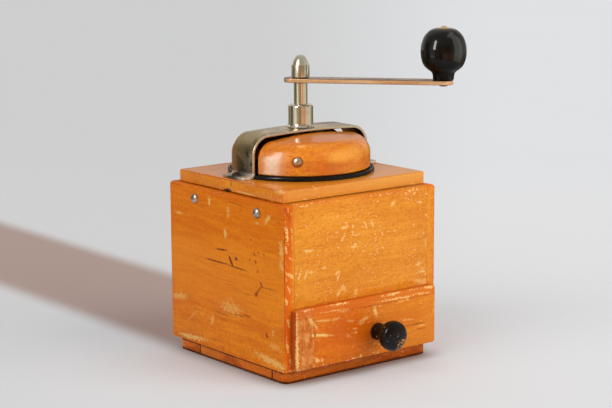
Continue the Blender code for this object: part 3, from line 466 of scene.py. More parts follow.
def bare_beech(name, turn, seed):
    """Planed beech without varnish, a little grey and dusty."""
    wood = Finish(name)
    grain = figured(wood, turn, seed)[1]
    deep = (0.5, 0.3, 0.14)
    wood.give(Base_Color=wood.tint(grain["Bands"], deep, (0.68, 0.46, 0.25)), Roughness=0.75)
    wood.paint([part * 0.75 for part in deep], grain["Streaks"], 0.35)
    wood.paint([part * 0.55 for part in deep], grain["Flecks"], 0.5)
    wood.paint((0.16, 0.085, 0.04), (wood.spots(70, 3), 0.5, 0.75), 0.45)
    wood.bump(grain["Height"], 0.25)
    return wood


def coat_node(finish, *nodes):
    """Give parts of the frame their finish."""
    for node in nodes:
        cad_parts[node].material_slots[0].material = finish.material


coat_node(bare_beech("inner boards", along_x, 8), "floor_board", "partition_board")
coat_node(bare_beech("cleats", along_y, 9), "left_cleat", "right_cleat")

# Top board. A beech board set back from the walls, with the round hole that the hopper hangs in. It
# is screwed to the cleats from below, and the seam under it is painted dark as shade.


def cut_out(piece, tool):
    """Take a tool's shape out of a piece."""
    clear()
    piece.select_set(True)
    bpy.context.view_layer.objects.active = piece
    work(piece, "BOOLEAN", object=tool, operation="DIFFERENCE")
    bpy.data.objects.remove(tool)
    smooth()


low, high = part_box("top_board")
lid = board("top_plate", low, high, lambda at, way: at.z > low.z + 0.0001, 0.0014, 0.0002)
hole_radius = 0.046
clear()
bpy.ops.mesh.primitive_cylinder_add(vertices=96, radius=hole_radius, depth=0.02,
                                    location=(0, 0, (low.z + high.z) / 2))
cut_out(lid, bpy.context.object)
wood = varnished("top board varnish", (low + high) / 2, (high - low) / 2, along_x, (0.66, 0.215, 0.012),
                 (0.8, 0.32, 0.024), 10, 0.006, 0.2, 0.08, coat=0.75, gloss=0.15)
marks(wood, pale_mark, 1.6, (
    (-60.8, -16, 126.9, -60.8, -31, 127.1, 1.6, 0.5), (-60.8, -54, 126.8, -60, -58, 126.8, 3.2, 0.7),
    (-60.8, -9, 120.6, -60.8, -26, 120.2, 1, 0.55)))
marks(wood, dark_mark, 1.6, ((-60.8, -2, 122.5, -60.8, -2.4, 126, 1, 0.5),))
# Painted shade along the seam under the board all round, with a thicker black spot in it on the left
# side.
marks(wood, (0.02, 0.008, 0.003), 1.4, (
    (-60.8, 4.5, 119.3, -60.8, -1.5, 119.3, 2.9, 1), (-60.8, -58, 119, -60.8, 58, 119, 0.75, 0.9),
    (-60.8, -58, 119, 60.8, -58, 119, 0.75, 0.9), (60.8, -58, 119, 60.8, 58, 119, 0.75, 0.9),
    (-60.8, 58, 119, 60.8, 58, 119, 0.75, 0.9)))
marks(wood, (0.36, 0.05, 0.002), 1.6, (
    (-60.5, -56, -60.5, 57, 1, 0.65), (-59, -57.7, 60, -57.7, 1, 0.65)), z=126.9)
marks(wood, (0.62, 0.095, 0.003), 1.2, ((-58.6, -58, 120.5, -58.6, -58, 125.5, 4, 0.55),))
wood.paint((0.8, 0.38, 0.065), (wood.y, -0.0574, -0.0579), 0.35)
wood.paint((0.8, 0.38, 0.065), (wood.x, -0.03, 0.03), 0.32)
dress(lid, wood, "case", "varnished_beech", "top_board")

# Side screws. Steel screws with low round heads, two through each side board into the cleat behind.


def edit_all():
    """Go into edit mode with everything selected."""
    bpy.ops.object.mode_set(mode="EDIT")
    bpy.ops.mesh.select_mode(type="EDGE")
    bpy.ops.mesh.select_all(action="SELECT")


def draw_out(*move):
    """Extrude what is selected by a move."""
    bpy.ops.mesh.extrude_region_move(TRANSFORM_OT_translate={"value": move})


def face_out():
    """Turn every face outward, and leave edit mode."""
    bpy.ops.mesh.select_all(action="SELECT")
    bpy.ops.mesh.normals_make_consistent(inside=False)
    leave_edit()


def turn_up(name, rings, sides=64, ring_shaped=False):
    """A turned piece: a circle drawn up ring by ring, each ring a radius and a height."""
    clear()
    radius, height = rings[0]
    bpy.ops.mesh.primitive_circle_add(vertices=sides, radius=radius, location=(0, 0, height),
                                      fill_type="NOTHING" if ring_shaped else "NGON")
    piece = named(name)
    bpy.ops.object.transform_apply()
    edit_all()
    for next_radius, next_height in rings[1:] + (rings[:1] if ring_shaped else []):
        draw_out(0, 0, next_height - height)
        grow = next_radius / radius
        bpy.ops.transform.resize(value=(grow, grow, 1), center_override=(0, 0, next_height))
        radius, height = next_radius, next_height
    bpy.ops.mesh.select_all(action="SELECT")
    if ring_shaped:
        bpy.ops.mesh.remove_doubles(threshold=0.000001)
    face_out()
    smooth()
    return piece


def ringed(rows, level=0):
    """Rings given in millimetres, their heights counted from a level."""
    return [(across / 1000, level + up / 1000) for across, up in rows]


def bend(middle, radius, start, end, steps):
    """Rings along an arc of the profile, from one angle to another in degrees."""
    angles = [math.radians(start + (end - start) * step / steps) for step in range(steps + 1)]
    return [(middle[0] + radius[0] * math.cos(angle), middle[1] + radius[1] * math.sin(angle))
            for angle in angles]


def saw_out(piece, middle, size, turn=0):
    """Take a block out of a piece, given by its middle and its size."""
    middle, half = Vector(middle), Vector(size) / 2
    cut_out(piece, block("saw", middle - half, middle + half, turn))


def round_head(name, radius, head, shank, slot, turn=0):
    """A screw with a low round head and a slot sawn across it, standing upright."""
    rings = [(0.0004, head)] + bend((0, 0), (radius, head), 84, 0, 12) + ringed(shank)
    screw = turn_up(name, rings, 48)
    saw_out(screw, (0, 0, head), slot, turn)
    return screw


def metal(name, colour, dull, roughness, stain, stained, cloud=60, brushed=(1, 1, 1), metallic=1,
          shade=0.35):
    """Plated or plain steel with cloudy stains, fine rubbing marks and dirt in the stains."""
    steel = Finish(name)
    haze = steel.fade(steel.spots(cloud, 3, 0.6), 0.4, 0.66)
    deep_stain = steel.fade(steel.spots(cloud * 1.9, 3, 0.65), 1 - stained, 1.12 - stained)
    rubbing = steel.spots(1400, stretch=brushed)
    uneven = steel.scaled(haze, 0.14, steel.scaled(deep_stain, 0.25, roughness))
    steel.give(Base_Color=steel.tint(haze, colour, dull), Metallic=metallic,
               Roughness=steel.scaled(rubbing, 0.08, uneven))
    steel.paint([part * 0.6 for part in dull], rubbing, shade)
    steel.paint(stain, deep_stain)
    steel.bump(rubbing, 0.05, 0.0002)
    return steel


screw_steel = metal("screw steel", (0.58, 0.55, 0.5), (0.36, 0.33, 0.29), 0.26, (0.1, 0.06, 0.04), 0.42)
head_radius, head_height = 0.0034, 0.0023
for node in ("left_front_screw", "left_rear_screw", "right_front_screw", "right_rear_screw"):
    low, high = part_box(node)
    side = -1 if node.startswith("left") else 1
    screw = round_head(node.replace("screw", "wood_screw"), head_radius, head_height,
                       ((1.4, 0), (1.4, -13.5), (0.2, -14.9)), (0.0006, head_radius * 2.4, 0.0009))
    seat = (low.x + head_height) if side < 0 else (high.x - head_height)
    settle(screw, (seat, *((low + high) / 2).yz), (0, side * math.pi / 2, 0))
    dress(screw, screw_steel, "case", "screw_steel", node)

# Drawer. Its thick beech face has a low raised field, with a wide slope at each end where end grain
# shows and the varnish is mostly gone. Two thin walls, a back and a bottom behind it are unvarnished.
low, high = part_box("drawer_front")
face_front, face_back = -0.0703, -0.0653
slope_rise, slope_end = 0.006, 0.0135
tongue_half, tongue_foot, tongue_top = 0.0562, 0.0124, 0.0463
corner, shrink = 0.002, 0.002
face_low, face_high = Vector((low.x, face_front, low.z)), Vector((high.x, face_back, high.z))
face_middle, face_half = (face_low + face_high) / 2, (face_high - face_low) / 2
face = block("drawer_face", face_low, face_high)
pick(face, "FACE", lambda at, way: way.y < -0.9)
bpy.ops.mesh.inset(thickness=slope_rise, depth=0)
bpy.ops.transform.resize(value=((face_half.x - slope_end) / (face_half.x - slope_rise), 1, 1),
                         center_override=(0, face_front, face_middle.z))
bpy.ops.transform.translate(value=(0, low.y - face_front, 0))
leave_edit()
round_off(face, lambda at, way: abs(way.y) > 0.9, corner, 5)
pick(face, "FACE", lambda at, way: way.y > 0.9)
bpy.ops.mesh.inset(thickness=shrink, depth=0)
bpy.ops.transform.resize(value=(tongue_half / (face_half.x - shrink), 1,
                                (tongue_top - tongue_foot) / 2 / (face_half.z - shrink)),
                         center_override=(0, face_back, face_middle.z))
bpy.ops.transform.translate(value=(0, 0, (tongue_top + tongue_foot) / 2 - face_middle.z))
draw_out(0, high.y - face_back, 0)
leave_edit()
ease(face, 0.0007, 3, 5)
wood = varnished("drawer face varnish", face_middle, face_half, along_x, (0.6, 0.135, 0.004),
                 (0.74, 0.225, 0.01), 11, 0.004, 0.22, 0.13, streak=0.5)
ragged = wood.scaled(wood.spots(260, 3), 0.0022, -0.0011)
end_slope = wood.fade(wood.sums("ADD", wood.off(wood.x), ragged), 0.0462, 0.0472)
knots = wood.fade(wood.spots(330, 3, 0.65, (1, 1, 0.55)), 0.36, 0.66)
rays = wood.tint(knots, (0.42, 0.1, 0.013), (0.68, 0.31, 0.095))
wood.paint(rays, end_slope, (wood.x, 0.05, -0.04), 0.62)
marks(wood, pale_mark, 1.8, (
    (-46.9, 33.1, -33.4, 31.1, 1.6, 0.9), (-51.5, 46.3, -44.8, 38.1, 1.9, 0.7),
    (-25, 45.6, -17.6, 45.3, 1.4, 0.8), (4.4, 42.8, 6.1, 38.3, 2.4, 0.8),
    (-6.9, 36.5, -1.5, 37.8, 2, 0.9), (-13.3, 32.1, -11.2, 31.9, 1.2, 0.8),
    (-12.8, 29.5, -11, 29.3, 1.2, 0.8), (-19.2, 28.9, -16.6, 27.6, 1.8, 0.6),
    (-17.6, 38, -13.3, 37.6, 1.6, 0.7), (30.4, 30.9, 37.7, 30.3, 1.2, 0.8),
    (19.7, 51.1, 31.4, 50.6, 1.4, 0.7), (32.5, 45.9, 33.7, 45.1, 2, 0.9),
    (-45, 16.9, -42.9, 15.7, 2.2, 0.8), (-40.3, 15.7, -39.3, 14.7, 1.8, 0.6),
    (44, 24.8, 49.7, 24.7, 1, 0.6), (-43.8, 42.1, -31.3, 40.9, 1.2, 0.55),
    (-31.3, 40.9, -26.1, 41.3, 1.5, 0.7), (-8, 34.6, -5.3, 34.8, 1.4, 0.7),
    (24.7, 43.9, 30.3, 44.3, 1.1, 0.6)), y=-71.9)
wood.paint((0.7, 0.28, 0.022), (wood.x, -0.01, 0.03), 0.35)
wood.paint((0.56, 0.095, 0.003), (wood.sums("ADD", wood.z, ragged), 0.0444, 0.0452), 0.45)
wood.paint((0.36, 0.045, 0.003), (wood.x, -0.0595, -0.05965), 0.85)
marks(wood, pale_mark, 1.7, (
    (-59.6, -70.3, 11.5, -59.6, -70.3, 32, 2.2, 0.85), (-59.6, -70.3, 32, -59.6, -70.3, 48, 1, 0.7)))
# Two broad dark red patches: the one left of the knob is its painted shadow, and there is a fainter one
# further right.
marks(wood, (0.5, 0.075, 0.002), 1, (
    (-26, 36, 0, 28, 20, 0.55), (20, 34, 40, 33, 12, 0.3)), y=-71.9)
marks(wood, (0.3, 0.036, 0.002), 1.8, (
    (-46, 45, 58, 45, 1.1, 0.65), (-46.3, 17, -45.6, 30, 1.3, 0.5), (-45.9, 31, -47, 44, 1.6, 0.55),
    (-49.5, 22, -48.6, 40, 1, 0.4), (-46, 17.3, 58, 17.3, 0.9, 0.35)), y=-71.2)
marks(wood, pale_mark, 2, (
    (10, 46.6, 36, 46.4, 1.3, 0.7), (40, 47, 55, 46.2, 1.3, 0.6), (-40, 46.8, -20, 46.4, 1, 0.5),
    (14, 50.3, 28, 50.3, 1.7, 0.85), (-31.5, 50.5, -18.5, 50.4, 1.6, 0.85),
    (50.5, 50.3, 59, 49.3, 1.8, 0.8), (-54, 50.2, -47, 50.3, 1.4, 0.7),
    (36, 50.4, 42, 50.4, 1.2, 0.6)), y=-71)
marks(wood, dark_mark, 1, (
    (43, 22.6, 52.5, 22.3, 0.9, 0.6), (34, 26.5, 50, 26, 0.9, 0.6),
    (-46, 34.2, -45.4, 32.4, 0.9, 0.6)), y=-71.9)
dress(face, wood, "drawer", "varnished_beech", "drawer_front")

tray_x = bare_beech("drawer back and bottom", along_x, 12)
tray_y = bare_beech("drawer sides", along_y, 13)
for node, name, wood in (("drawer_left_side", "tray_left_wall", tray_y),
                         ("drawer_right_side", "tray_right_wall", tray_y),
                         ("drawer_back", "tray_back_wall", tray_x),
                         ("drawer_bottom", "tray_bottom", tray_x)):
    dress(board(name, *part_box(node)), wood, "drawer", "raw_beech", node)
coat_node(screw_steel, "drawer_knob_screw")

# Drawer knob. Turned beech under thick black lacquer, screwed on from inside the drawer. The lacquer
# has flaked off low on the right of its head and rubbed through along its rim.


def lacquered(name, deep, hazy):
    """Black lacquer, smeared by hands."""
    black = Finish(name)
    smear = black.fade(black.spots(90, 3), 0.35, 0.75)
    black.give(Base_Color=black.tint(smear, deep, hazy), Coat_Roughness=0.07, Specular_IOR_Level=0.04,
               Roughness=black.scaled(smear, 0.2, 0.28))
    return black


black = lacquered("black lacquer", (0.004, 0.0035, 0.003), (0.009, 0.0075, 0.006))
apart = black.vector("DISTANCE", black.place, (0.0105, -0.0925, 0.0215))[1]
low_right = black.fade(apart, 0.0065, 0.0035)
chipped = black.times(low_right, black.fade(black.spots(700, 3, 0.65), 0.5, 0.56))
pinholes = black.times(black.fade(black.spots(420, 3, 0.62), 0.655, 0.685), 0.7)
flaked = black.sums("MAXIMUM", chipped, pinholes)
black.paint((0.42, 0.2, 0.075), flaked)
black.give(Coat_Weight=black.scaled(flaked, -0.36, 0.38))
black.bump(black.times(flaked, -1), 0.4)
low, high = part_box("drawer_knob")
knob = turn_up("drawer_pull", ringed((
    (1.6, 0), (5.5, 0), (5.9, 0.4), (5.9, 1.4), (5.6, 3), (5, 5.2), (4.7, 7), (4.9, 8.2),
    (5.8, 9.1), (7.2, 9.9), (8.5, 11), (9.4, 12.4), (9.9, 13.9), (10.1, 15.4), (10, 16.9),
    (9.6, 18.3), (8.8, 19.7), (7.6, 20.8), (6, 21.5), (4, 21.85), (2, 22), (0.5, 22))))
settle(knob, ((low.x + high.x) / 2, high.y, (low.z + high.z) / 2), (math.pi / 2, 0, 0))
dress(knob, black, "drawer", "black_lacquer", "drawer_knob")

# Hopper bowl. Pressed sheet steel, black enamelled. Its rim stands up round the dome and is notched
# where the bridge's legs pass.
enamel = Finish("black enamel")
dust = enamel.fade(enamel.spots(130, 3, 0.6), 0.45, 0.75)
enamel.give(Base_Color=enamel.tint(dust, (0.004, 0.004, 0.004), (0.014, 0.01, 0.007)),
            Roughness=enamel.scaled(dust, 0.25, 0.22), Coat_Weight=0.12, Coat_Roughness=0.12,
            Specular_IOR_Level=0.15)
low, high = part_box("hopper_bowl")
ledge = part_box("top_board")[1].z + 0.0003
notch_half = 0.0119
rings = ringed(((49.4, 0), (49.9, -0.6), (50, -1.2)), high.z)
rings += ringed(((50, 0.2), (49.7, 0), (45.1, 0)), ledge) + ringed(((21.6, 0), (20.6, 0)), low.z)
rings += ringed(((44, 1), (47.8, 1), (48.2, 1.4)), ledge) + ringed(((48.2, -0.6), (48.7, 0)), high.z)
bowl = turn_up("hopper", rings, 128, True)
for side in (-1, 1):
    saw_out(bowl, (side * 0.0498, 0, ledge + 0.002), (0.0046, notch_half * 2, 0.009))
dress(bowl, enamel, "case", "black_enamel", "hopper_bowl")

# Dome. Two turned half shells of beech, glossy with varnish, screwed to a flat steel ring that turns
# on the hopper's ledge. The gap between them lies under the bridge until the dome is turned.
dome_low, dome_high = (corner.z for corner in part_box("front_dome_shell"))
radius, wall, shoulder, crown = 0.0472, 0.006, 0.012, 0.0009
crown_lift, slot_half = 0.0016, 0.0121
flat = radius - shoulder
profile = [(flat * share, dome_high + crown_lift - (crown + crown_lift) * share * share)
           for share in (0.02, 0.15, 0.3, 0.45, 0.6, 0.75, 0.88)]
profile += bend((flat, dome_high - crown - shoulder), (shoulder, shoulder), 90, 0, 18)
profile += [(radius, dome_low + 0.006), (radius, dome_low + 0.0006), (radius - 0.0005, dome_low)]
inner_high, inner_shoulder = dome_high - wall, 0.009
inner_flat = radius - wall - inner_shoulder
profile += [(radius - wall, dome_low)]
profile += bend((inner_flat, inner_high - crown - inner_shoulder), (inner_shoulder, inner_shoulder),
                0, 90, 8)
profile += [(inner_flat * share, inner_high - crown * share * share) for share in (0.5, 0.02)]
button_angle, button_height = math.radians(229), dome_low + 0.0095
to_button = Vector((math.cos(button_angle), math.sin(button_angle), 0))
wood = varnished("dome varnish", (0, 0, dome_low), (0.5, 0.5, 0.5), (0, 0, math.radians(8)),
                 (0.66, 0.175, 0.004), (0.84, 0.33, 0.013), 14, 0.006, 0, 0, coat=0.9, gloss=0.21,
                 streak=0.55)
marks(wood, (0.36, 0.07, 0.004), 1.8, (
    (20, -43, 144, 25, -40.5, 144.5, 1.3, 0.6), (13, -45.8, 143, 14.5, -45.2, 142.6, 1.4, 0.55),
    (-15, -45, 137.5, -9, -46.5, 138, 1.2, 0.5)))
marks(wood, (0.52, 0.09, 0.002), 0.5, (
    (-24, -41, 136, -2, -47, 134, 11, 0.55), (40, -25, 144, 45, -15, 136, 8, 0.4),
    (-34, -33, 138, -28, -38, 139, 4, 0.35), (18, -44, 137, 32, -35, 137, 7, 0.3)))
marks(wood, (0.88, 0.42, 0.04), 0.4, (
    (-8, -46.5, 142, 14, -45, 145, 9, 0.34), (26, -39, 143, 34, -32, 145, 9, 0.2)))
marks(wood, (0.93, 0.55, 0.16), 1.8, (
    (-27, -32, 149.5, -24, -34, 149.5, 1.8, 0.6), (22, -41.8, 147.5, 30, -37, 147.5, 1.4, 0.4)))
# A dark ring of painted shade in the varnish round the button.
from_stud = wood.vector("DISTANCE", wood.place, to_button * radius + Vector((0, 0, button_height)))[1]
from_stud = wood.scaled(wood.spots(420), 0.0012, from_stud)
wood.paint((0.2, 0.03, 0.002), (from_stud, 0.0049, 0.0036), 0.8)
# The cut faces at the gap under the bridge are painted near black, as shade.
at_slot = wood.fade(wood.off(wood.y), slot_half + 0.00012, slot_half + 0.00002)
wood.paint((0.01, 0.005, 0.003), at_slot, wood.scaled(wood.spots(240, 3), 0.25, 0.8))
for end, side in (("front", -1), ("rear", 1)):
    shell = turn_up(f"dome_{end}_half", profile, 128, True)
    edit_all()
    bpy.ops.mesh.bisect(plane_co=(0, side * slot_half, 0), plane_no=(0, side, 0), use_fill=True,
                        clear_inner=True)
    leave_edit()
    smooth()
    dress(shell, wood, "dome", "varnished_beech", f"{end}_dome_shell")
coat_node(enamel, "dome_ring")
coat_node(screw_steel, *(f"dome_screw_{number}" for number in range(1, 5)))

# Dome button. A small nickel stud in the front half, to turn the dome by. The dark ring round it in
# the varnish is painted shade.
button = turn_up("button", [(0.0003, 0.0019)] + bend((0, 0), (0.0029, 0.0019), 84, 0, 12)
                 + ringed(((2.2, -0.1), (1.3, -0.1), (1.3, -5), (0.2, -5.6))), 48)
settle(button, to_button * (radius + 0.0003) + Vector((0, 0, button_height + 0.0003)),
       to_button.to_track_quat("Z", "Y").to_euler())
stud_nickel = metal("dull nickel stud", (0.86, 0.76, 0.66), (0.66, 0.54, 0.42), 0.22,
                    (0.26, 0.16, 0.09), 0.4)
dress(button, stud_nickel, "dome", "bright_nickel", "dome_button")

# Bridge. One strap of nickel-plated steel bent over the dome, with a foot screwed to the top board on
# each side. The plating is tarnished brown and spotted, darkest on the left leg. Pale, orange and bluish
# bands on the legs are painted reflections and highlights, and the strap's inside is painted dark as
# shade.
low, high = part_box("bridge_strap")
inner_half, thickness, shoulder, foot_bend = 0.0478, 0.0017, 0.0135, 0.0018
outer_half, foot_top = inner_half + thickness, low.z + thickness
flat, shoulder_z = outer_half - shoulder, high.z - crown - shoulder
line = [(flat * share, high.z - crown * share * share) for share in (0.12, 0.35, 0.6, 0.8)]
line += bend((flat, shoulder_z), (shoulder, shoulder), 90, 0, 16)
line += bend((outer_half + foot_bend, foot_top + foot_bend), (foot_bend, foot_bend), 180, 270, 6)
line.append((high.x, foot_top))
start = line[0][0]
clear()
bpy.ops.mesh.primitive_plane_add(size=1, location=(start / 2, 0, high.z))
strap = named("bridge")
strap.scale = (start, high.y - low.y, 1)
bpy.ops.object.transform_apply()
pick(strap, "EDGE", lambda at, way: at.x > start - 0.0001)
before = (start, high.z)
for after in line[1:]:
    draw_out(after[0] - before[0], 0, after[1] - before[1])
    before = after
face_out()
round_off(strap, lambda at, way: at.x > high.x - 0.0001, 0.0016, 5, "VERTICES")
work(strap, "MIRROR", merge_threshold=0.00001, use_clip=True)
work(strap, "SOLIDIFY", thickness=thickness + 0.0002, offset=-1, use_even_offset=True)
ease(strap, 0.0004, 3, 50)

aged = metal("tarnished nickel", (0.74, 0.57, 0.35), (0.5, 0.36, 0.18), 0.2, (0.1, 0.06, 0.035), 0.34,
             60, (1, 0.08, 1), 1, 0.3)
lower = aged.fade(aged.z, 0.155, 0.131)
blotch = aged.scaled(lower, 0.2, aged.spots(120, 5, 0.7, (1, 0.6, 0.5)))
aged.paint((0.095, 0.066, 0.042), (blotch, 0.5, 0.76), 0.78)
# Bluish grey clouds low on the strap are a painted reflection.
bluish_reflection = aged.scaled(lower, 0.3, aged.spots(150, 4, 0.65, (1, 1, 0.4)))
aged.paint((0.2, 0.205, 0.21), (bluish_reflection, 0.62, 0.8), 0.55)
aged.paint((0.05, 0.03, 0.018), (aged.spots(260, 4, 0.7), 0.66, 0.74), 0.7)
leg = aged.fade(aged.z, 0.151, 0.144)
# Painted reflections on the legs: a pale band toward the front edge and an orange one toward the back.
aged.paint((0.9, 0.76, 0.58), leg, (aged.y, -0.005, -0.0088), 0.6)
aged.paint((0.78, 0.42, 0.2), leg, (aged.y, 0.003, 0.009), 0.5)
aged.paint((0.26, 0.145, 0.06), (aged.x, 0.008, 0.026), 0.65)
# The strap's inside is painted near black, as shade.
beyond_x = aged.sums("MAXIMUM", aged.sums("SUBTRACT", aged.off(aged.x), flat), 0)
beyond_z = aged.sums("MAXIMUM", aged.sums("SUBTRACT", aged.z, shoulder_z), 0)
reach = aged.sums("SQRT", aged.scaled(beyond_x, beyond_x, aged.times(beyond_z, beyond_z)))
aged.paint((0.022, 0.016, 0.012), (reach, shoulder - 0.00045, shoulder - 0.0007), 0.92)
# A pale line along both edges: rubbed plating, and a painted highlight on the rim.
aged.paint((0.86, 0.78, 0.64), (aged.off(aged.y), 0.011, 0.0114), 0.8)
foot = aged.fade(aged.z, foot_top + 0.003, foot_top + 0.0005)
aged.paint((0.42, 0.33, 0.22), foot, (aged.spots(380, 3), 0.4, 0.62), 0.75)
aged.give(Metallic=aged.scaled(foot, -0.55, 1))
# A bluish grey painted reflection on the left leg.
marks(aged, (0.28, 0.29, 0.3), 1.2, ((-49.5, -3.2, 132.5, -49.5, -4, 140.5, 6.5, 0.5),))
# Pale streaks on the left leg; the one near its front edge is a painted highlight.
marks(aged, (0.6, 0.56, 0.46), 1, (
    (-49.5, -9.8, 130.5, -49.5, -9.4, 136, 1.5, 0.45),
    (-49.5, -0.9, 134.7, -49.5, -2.9, 134.4, 0.6, 0.9)))
screw_x, screw_y = (sum(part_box("left_strap_screw"), Vector()) * 500).xy
# Dark spots on the left leg, and painted shade round the foot screw.
marks(aged, (0.026, 0.018, 0.012), 1.5, (
    (-49, -6, 143, -48.4, -4, 144.4, 2, 0.75), (-49.5, -9.7, 136, -49.5, -9.5, 139.4, 1.5, 0.8),
    (-49.5, 5.2, 139.5, -49.5, 1.6, 138, 4.5, 0.45), (-49.5, 1.4, 131.5, -49.5, -1, 136, 2.6, 0.45),
    (screw_x - 2, screw_y + 1, 128.7, screw_x + 2.5, screw_y + 1.5, 128.7, 9, 0.75)))
dress(strap, aged, "case", "aged_nickel", "bridge_strap")

dark_steel = metal("darkened screw steel", (0.22, 0.19, 0.16), (0.1, 0.08, 0.06), 0.3,
                   (0.03, 0.02, 0.015), 0.5)
head_height = 0.0022
for node in ("left_strap_screw", "right_strap_screw"):
    low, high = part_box(node)
    screw = round_head(node.replace("strap_", "foot_"), 0.0032, head_height,
                       ((1.4, 0), (1.4, -5.6), (0.2, -6.9)), (0.0007, 0.008, 0.0012), 0.5)
    settle(screw, (*((low + high) / 2).xy, high.z - head_height))
    dress(screw, dark_steel, "case", "screw_steel", node)

# Bearing collar. A turned, nickel-plated bush, riveted through the bridge, that the shaft runs in.
nickel = metal("polished nickel", (0.82, 0.77, 0.64), (0.7, 0.6, 0.45), 0.13, (0.32, 0.22, 0.12), 0.3,
               55, (1, 1, 0.15), 1, 0.15)
low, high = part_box("bearing_collar")
play = 0.0003
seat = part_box("bridge_strap")[1].z + play
under = seat - play - thickness - play
body_radius, rounding = 0.0084, 0.0014
rings = ringed(((4.9, -0.4), (5.4, 0)), high.z)
rings += bend((body_radius - rounding, high.z - rounding), (rounding, rounding), 90, 0, 8)
rings += ringed(((8.4, 2.4), (8.5, 1.6), (8.9, 0.8), (9.5, 0.2), (9.5, 0), (6.2, 0)), seat)
rings += ringed(((6.2, 0), (7.3, 0), (7.6, -0.4), (7.4, -1.3), (6.7, -1.8), (4.9, -1.8)), under)
collar = turn_up("collar", rings, 96, True)
dress(collar, nickel, "case", "bright_nickel", "bearing_collar")

# Crank. A steel shaft, a flat arm and a bullet-shaped nut, all nickel plated and worn warm. The arm
# sits on the shaft's shoulder and the nut holds it down.
low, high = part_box("crank_shaft")
arm_low, arm_high = (corner.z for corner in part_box("crank_arm"))
shaft = turn_up("shaft", ringed(((0.4, 0), (3.3, 0)), high.z)
                + ringed(((3.3, -0.3), (4.3, -0.3), (4.6, -0.6)), arm_low)
                + ringed(((4.6, 97.8), (3.4, 97.5)))
                + ringed(((3.4, 0.4), (3, 0), (0.4, 0)), low.z))
dress(shaft, nickel, "crank", "bright_nickel", "crank_shaft")

tail, tip, broad, narrow = -0.0113, 0.1035, 0.014, 0.013
arm_angle = math.radians(-50)
arm = block("arm", (tail, -broad / 2, arm_low), (tip, broad / 2, arm_high))
pick(arm, "FACE", lambda at, way: way.x > 0.9)
bpy.ops.transform.resize(value=(1, narrow / broad, 1), center_override=(tip, 0, 0))
leave_edit()
round_off(arm, lambda at, way: abs(way.z) > 0.9 and at.x < 0, broad / 2 - 0.0001, 14)
round_off(arm, lambda at, way: abs(way.z) > 0.9 and at.x > 0.09, narrow / 2 - 0.0001, 14)
ease(arm, 0.0005, 3, 50)
settle(arm, turn=(0, 0, arm_angle))
warm = metal("worn warm nickel", (0.86, 0.64, 0.47), (0.74, 0.47, 0.29), 0.22, (0.3, 0.11, 0.04), 0.3,
             70, (0.3, 0.3, 1), 1, 0.3)
off_middle = warm.off(warm.z, (arm_low + arm_high) / 2)
along_arm = warm.step("Mapping", {"Vector": warm.place, "Rotation": (0, 0, -arm_angle)})[0]
drawn = warm.fade(warm.spots(900, 3, stretch=(0.04, 1, 1), place=along_arm), 0.35, 0.65)
brass = warm.tint(drawn, (0.58, 0.29, 0.12), (0.74, 0.46, 0.25))
tail_end = warm.fade(warm.step("SeparateXYZ", {0: along_arm})[0], -0.008, -0.01)
flank = warm.fade(off_middle, 0.0014, 0.00115)
warm.paint(warm.tint(tail_end, brass, (0.26, 0.22, 0.14)), flank)
warm.paint((0.17, 0.075, 0.034), (off_middle, 0.0009, 0.00125), warm.scaled(drawn, 0.25, 0.62))
warm.give(Metallic=warm.scaled(flank, -0.75, 1))
dress(arm, warm, "crank", "bright_nickel", "crank_arm")

low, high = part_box("acorn_nut")
rings = ringed((
    (0.4, 0), (1.2, -0.1), (2.1, -0.5), (2.8, -1), (3.4, -1.6), (4, -2.4), (4.6, -3.5), (5.1, -4.7),
    (5.4, -5.9), (5.6, -6.4), (6, -6.7), (6.1, -7.2)), high.z)
nut = turn_up("cap_nut", rings + ringed(((6.1, 0.5), (5.7, 0), (3.6, 0), (3.6, 7.5), (0.4, 7.6)), low.z))
dress(nut, nickel, "crank", "bright_nickel", "acorn_nut")

low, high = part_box("knob_spindle")
spindle = turn_up("spindle", ringed(((0.4, 0), (1, -0.1), (1.8, -0.4), (2.4, -1)), high.z)
                  + ringed(((2.4, 1.1), (3.1, 1.1), (2.9, 0.6), (2, 0.2), (0.4, 0)), low.z), 48)
settle(spindle, (*((low + high) / 2).xy, 0))
brassy = metal("rubbed spindle end", (0.66, 0.47, 0.27), (0.5, 0.33, 0.17), 0.34, (0.26, 0.14, 0.06),
               0.4, metallic=0.4)
# The head at its lower end is painted dark as shade.
brassy.paint((0.1, 0.055, 0.03), (brassy.z, low.z + 0.002, low.z + 0.0011), 0.85)
dress(spindle, brassy, "crank", "bright_nickel", "knob_spindle")

# Crank knob. Pear-shaped beech under glossy black lacquer, free to spin on its riveted spindle, with
# bare wood showing in a ring round the spindle's end.
low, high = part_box("crank_knob")
full, height, bore = 0.01525, high.z - low.z, 0.0027
shares = ((0.205, 0.972), (0.225, 0.966), (0.3, 0.963), (0.42, 0.954), (0.555, 0.932), (0.67, 0.898),
          (0.78, 0.85), (0.86, 0.8), (0.926, 0.735), (0.97, 0.67), (0.992, 0.618), (1, 0.56),
          (1, 0.505), (0.99, 0.445), (0.97, 0.395), (0.94, 0.345), (0.895, 0.295), (0.83, 0.25),
          (0.75, 0.215), (0.67, 0.188), (0.59, 0.165), (0.53, 0.143), (0.49, 0.115), (0.47, 0.085),
          (0.462, 0.05), (0.46, 0.02), (0.455, 0.004), (0.44, 0))
rings = [(bore, low.z + height * 0.973)]
rings += [(full * across, low.z + height * up) for across, up in shares]
grip = turn_up("crank_grip", rings + [(bore, low.z)], 96, True)
centre = ((low + high) / 2).xy
settle(grip, (*centre, 0))
black = lacquered("crank knob lacquer", (0.0014, 0.0012, 0.001), (0.0036, 0.0028, 0.002))
apart = black.vector("DISTANCE", black.place, (*centre, high.z))[1]
apart = black.sums("ADD", apart, black.scaled(black.spots(500), 0.0016, -0.0008))
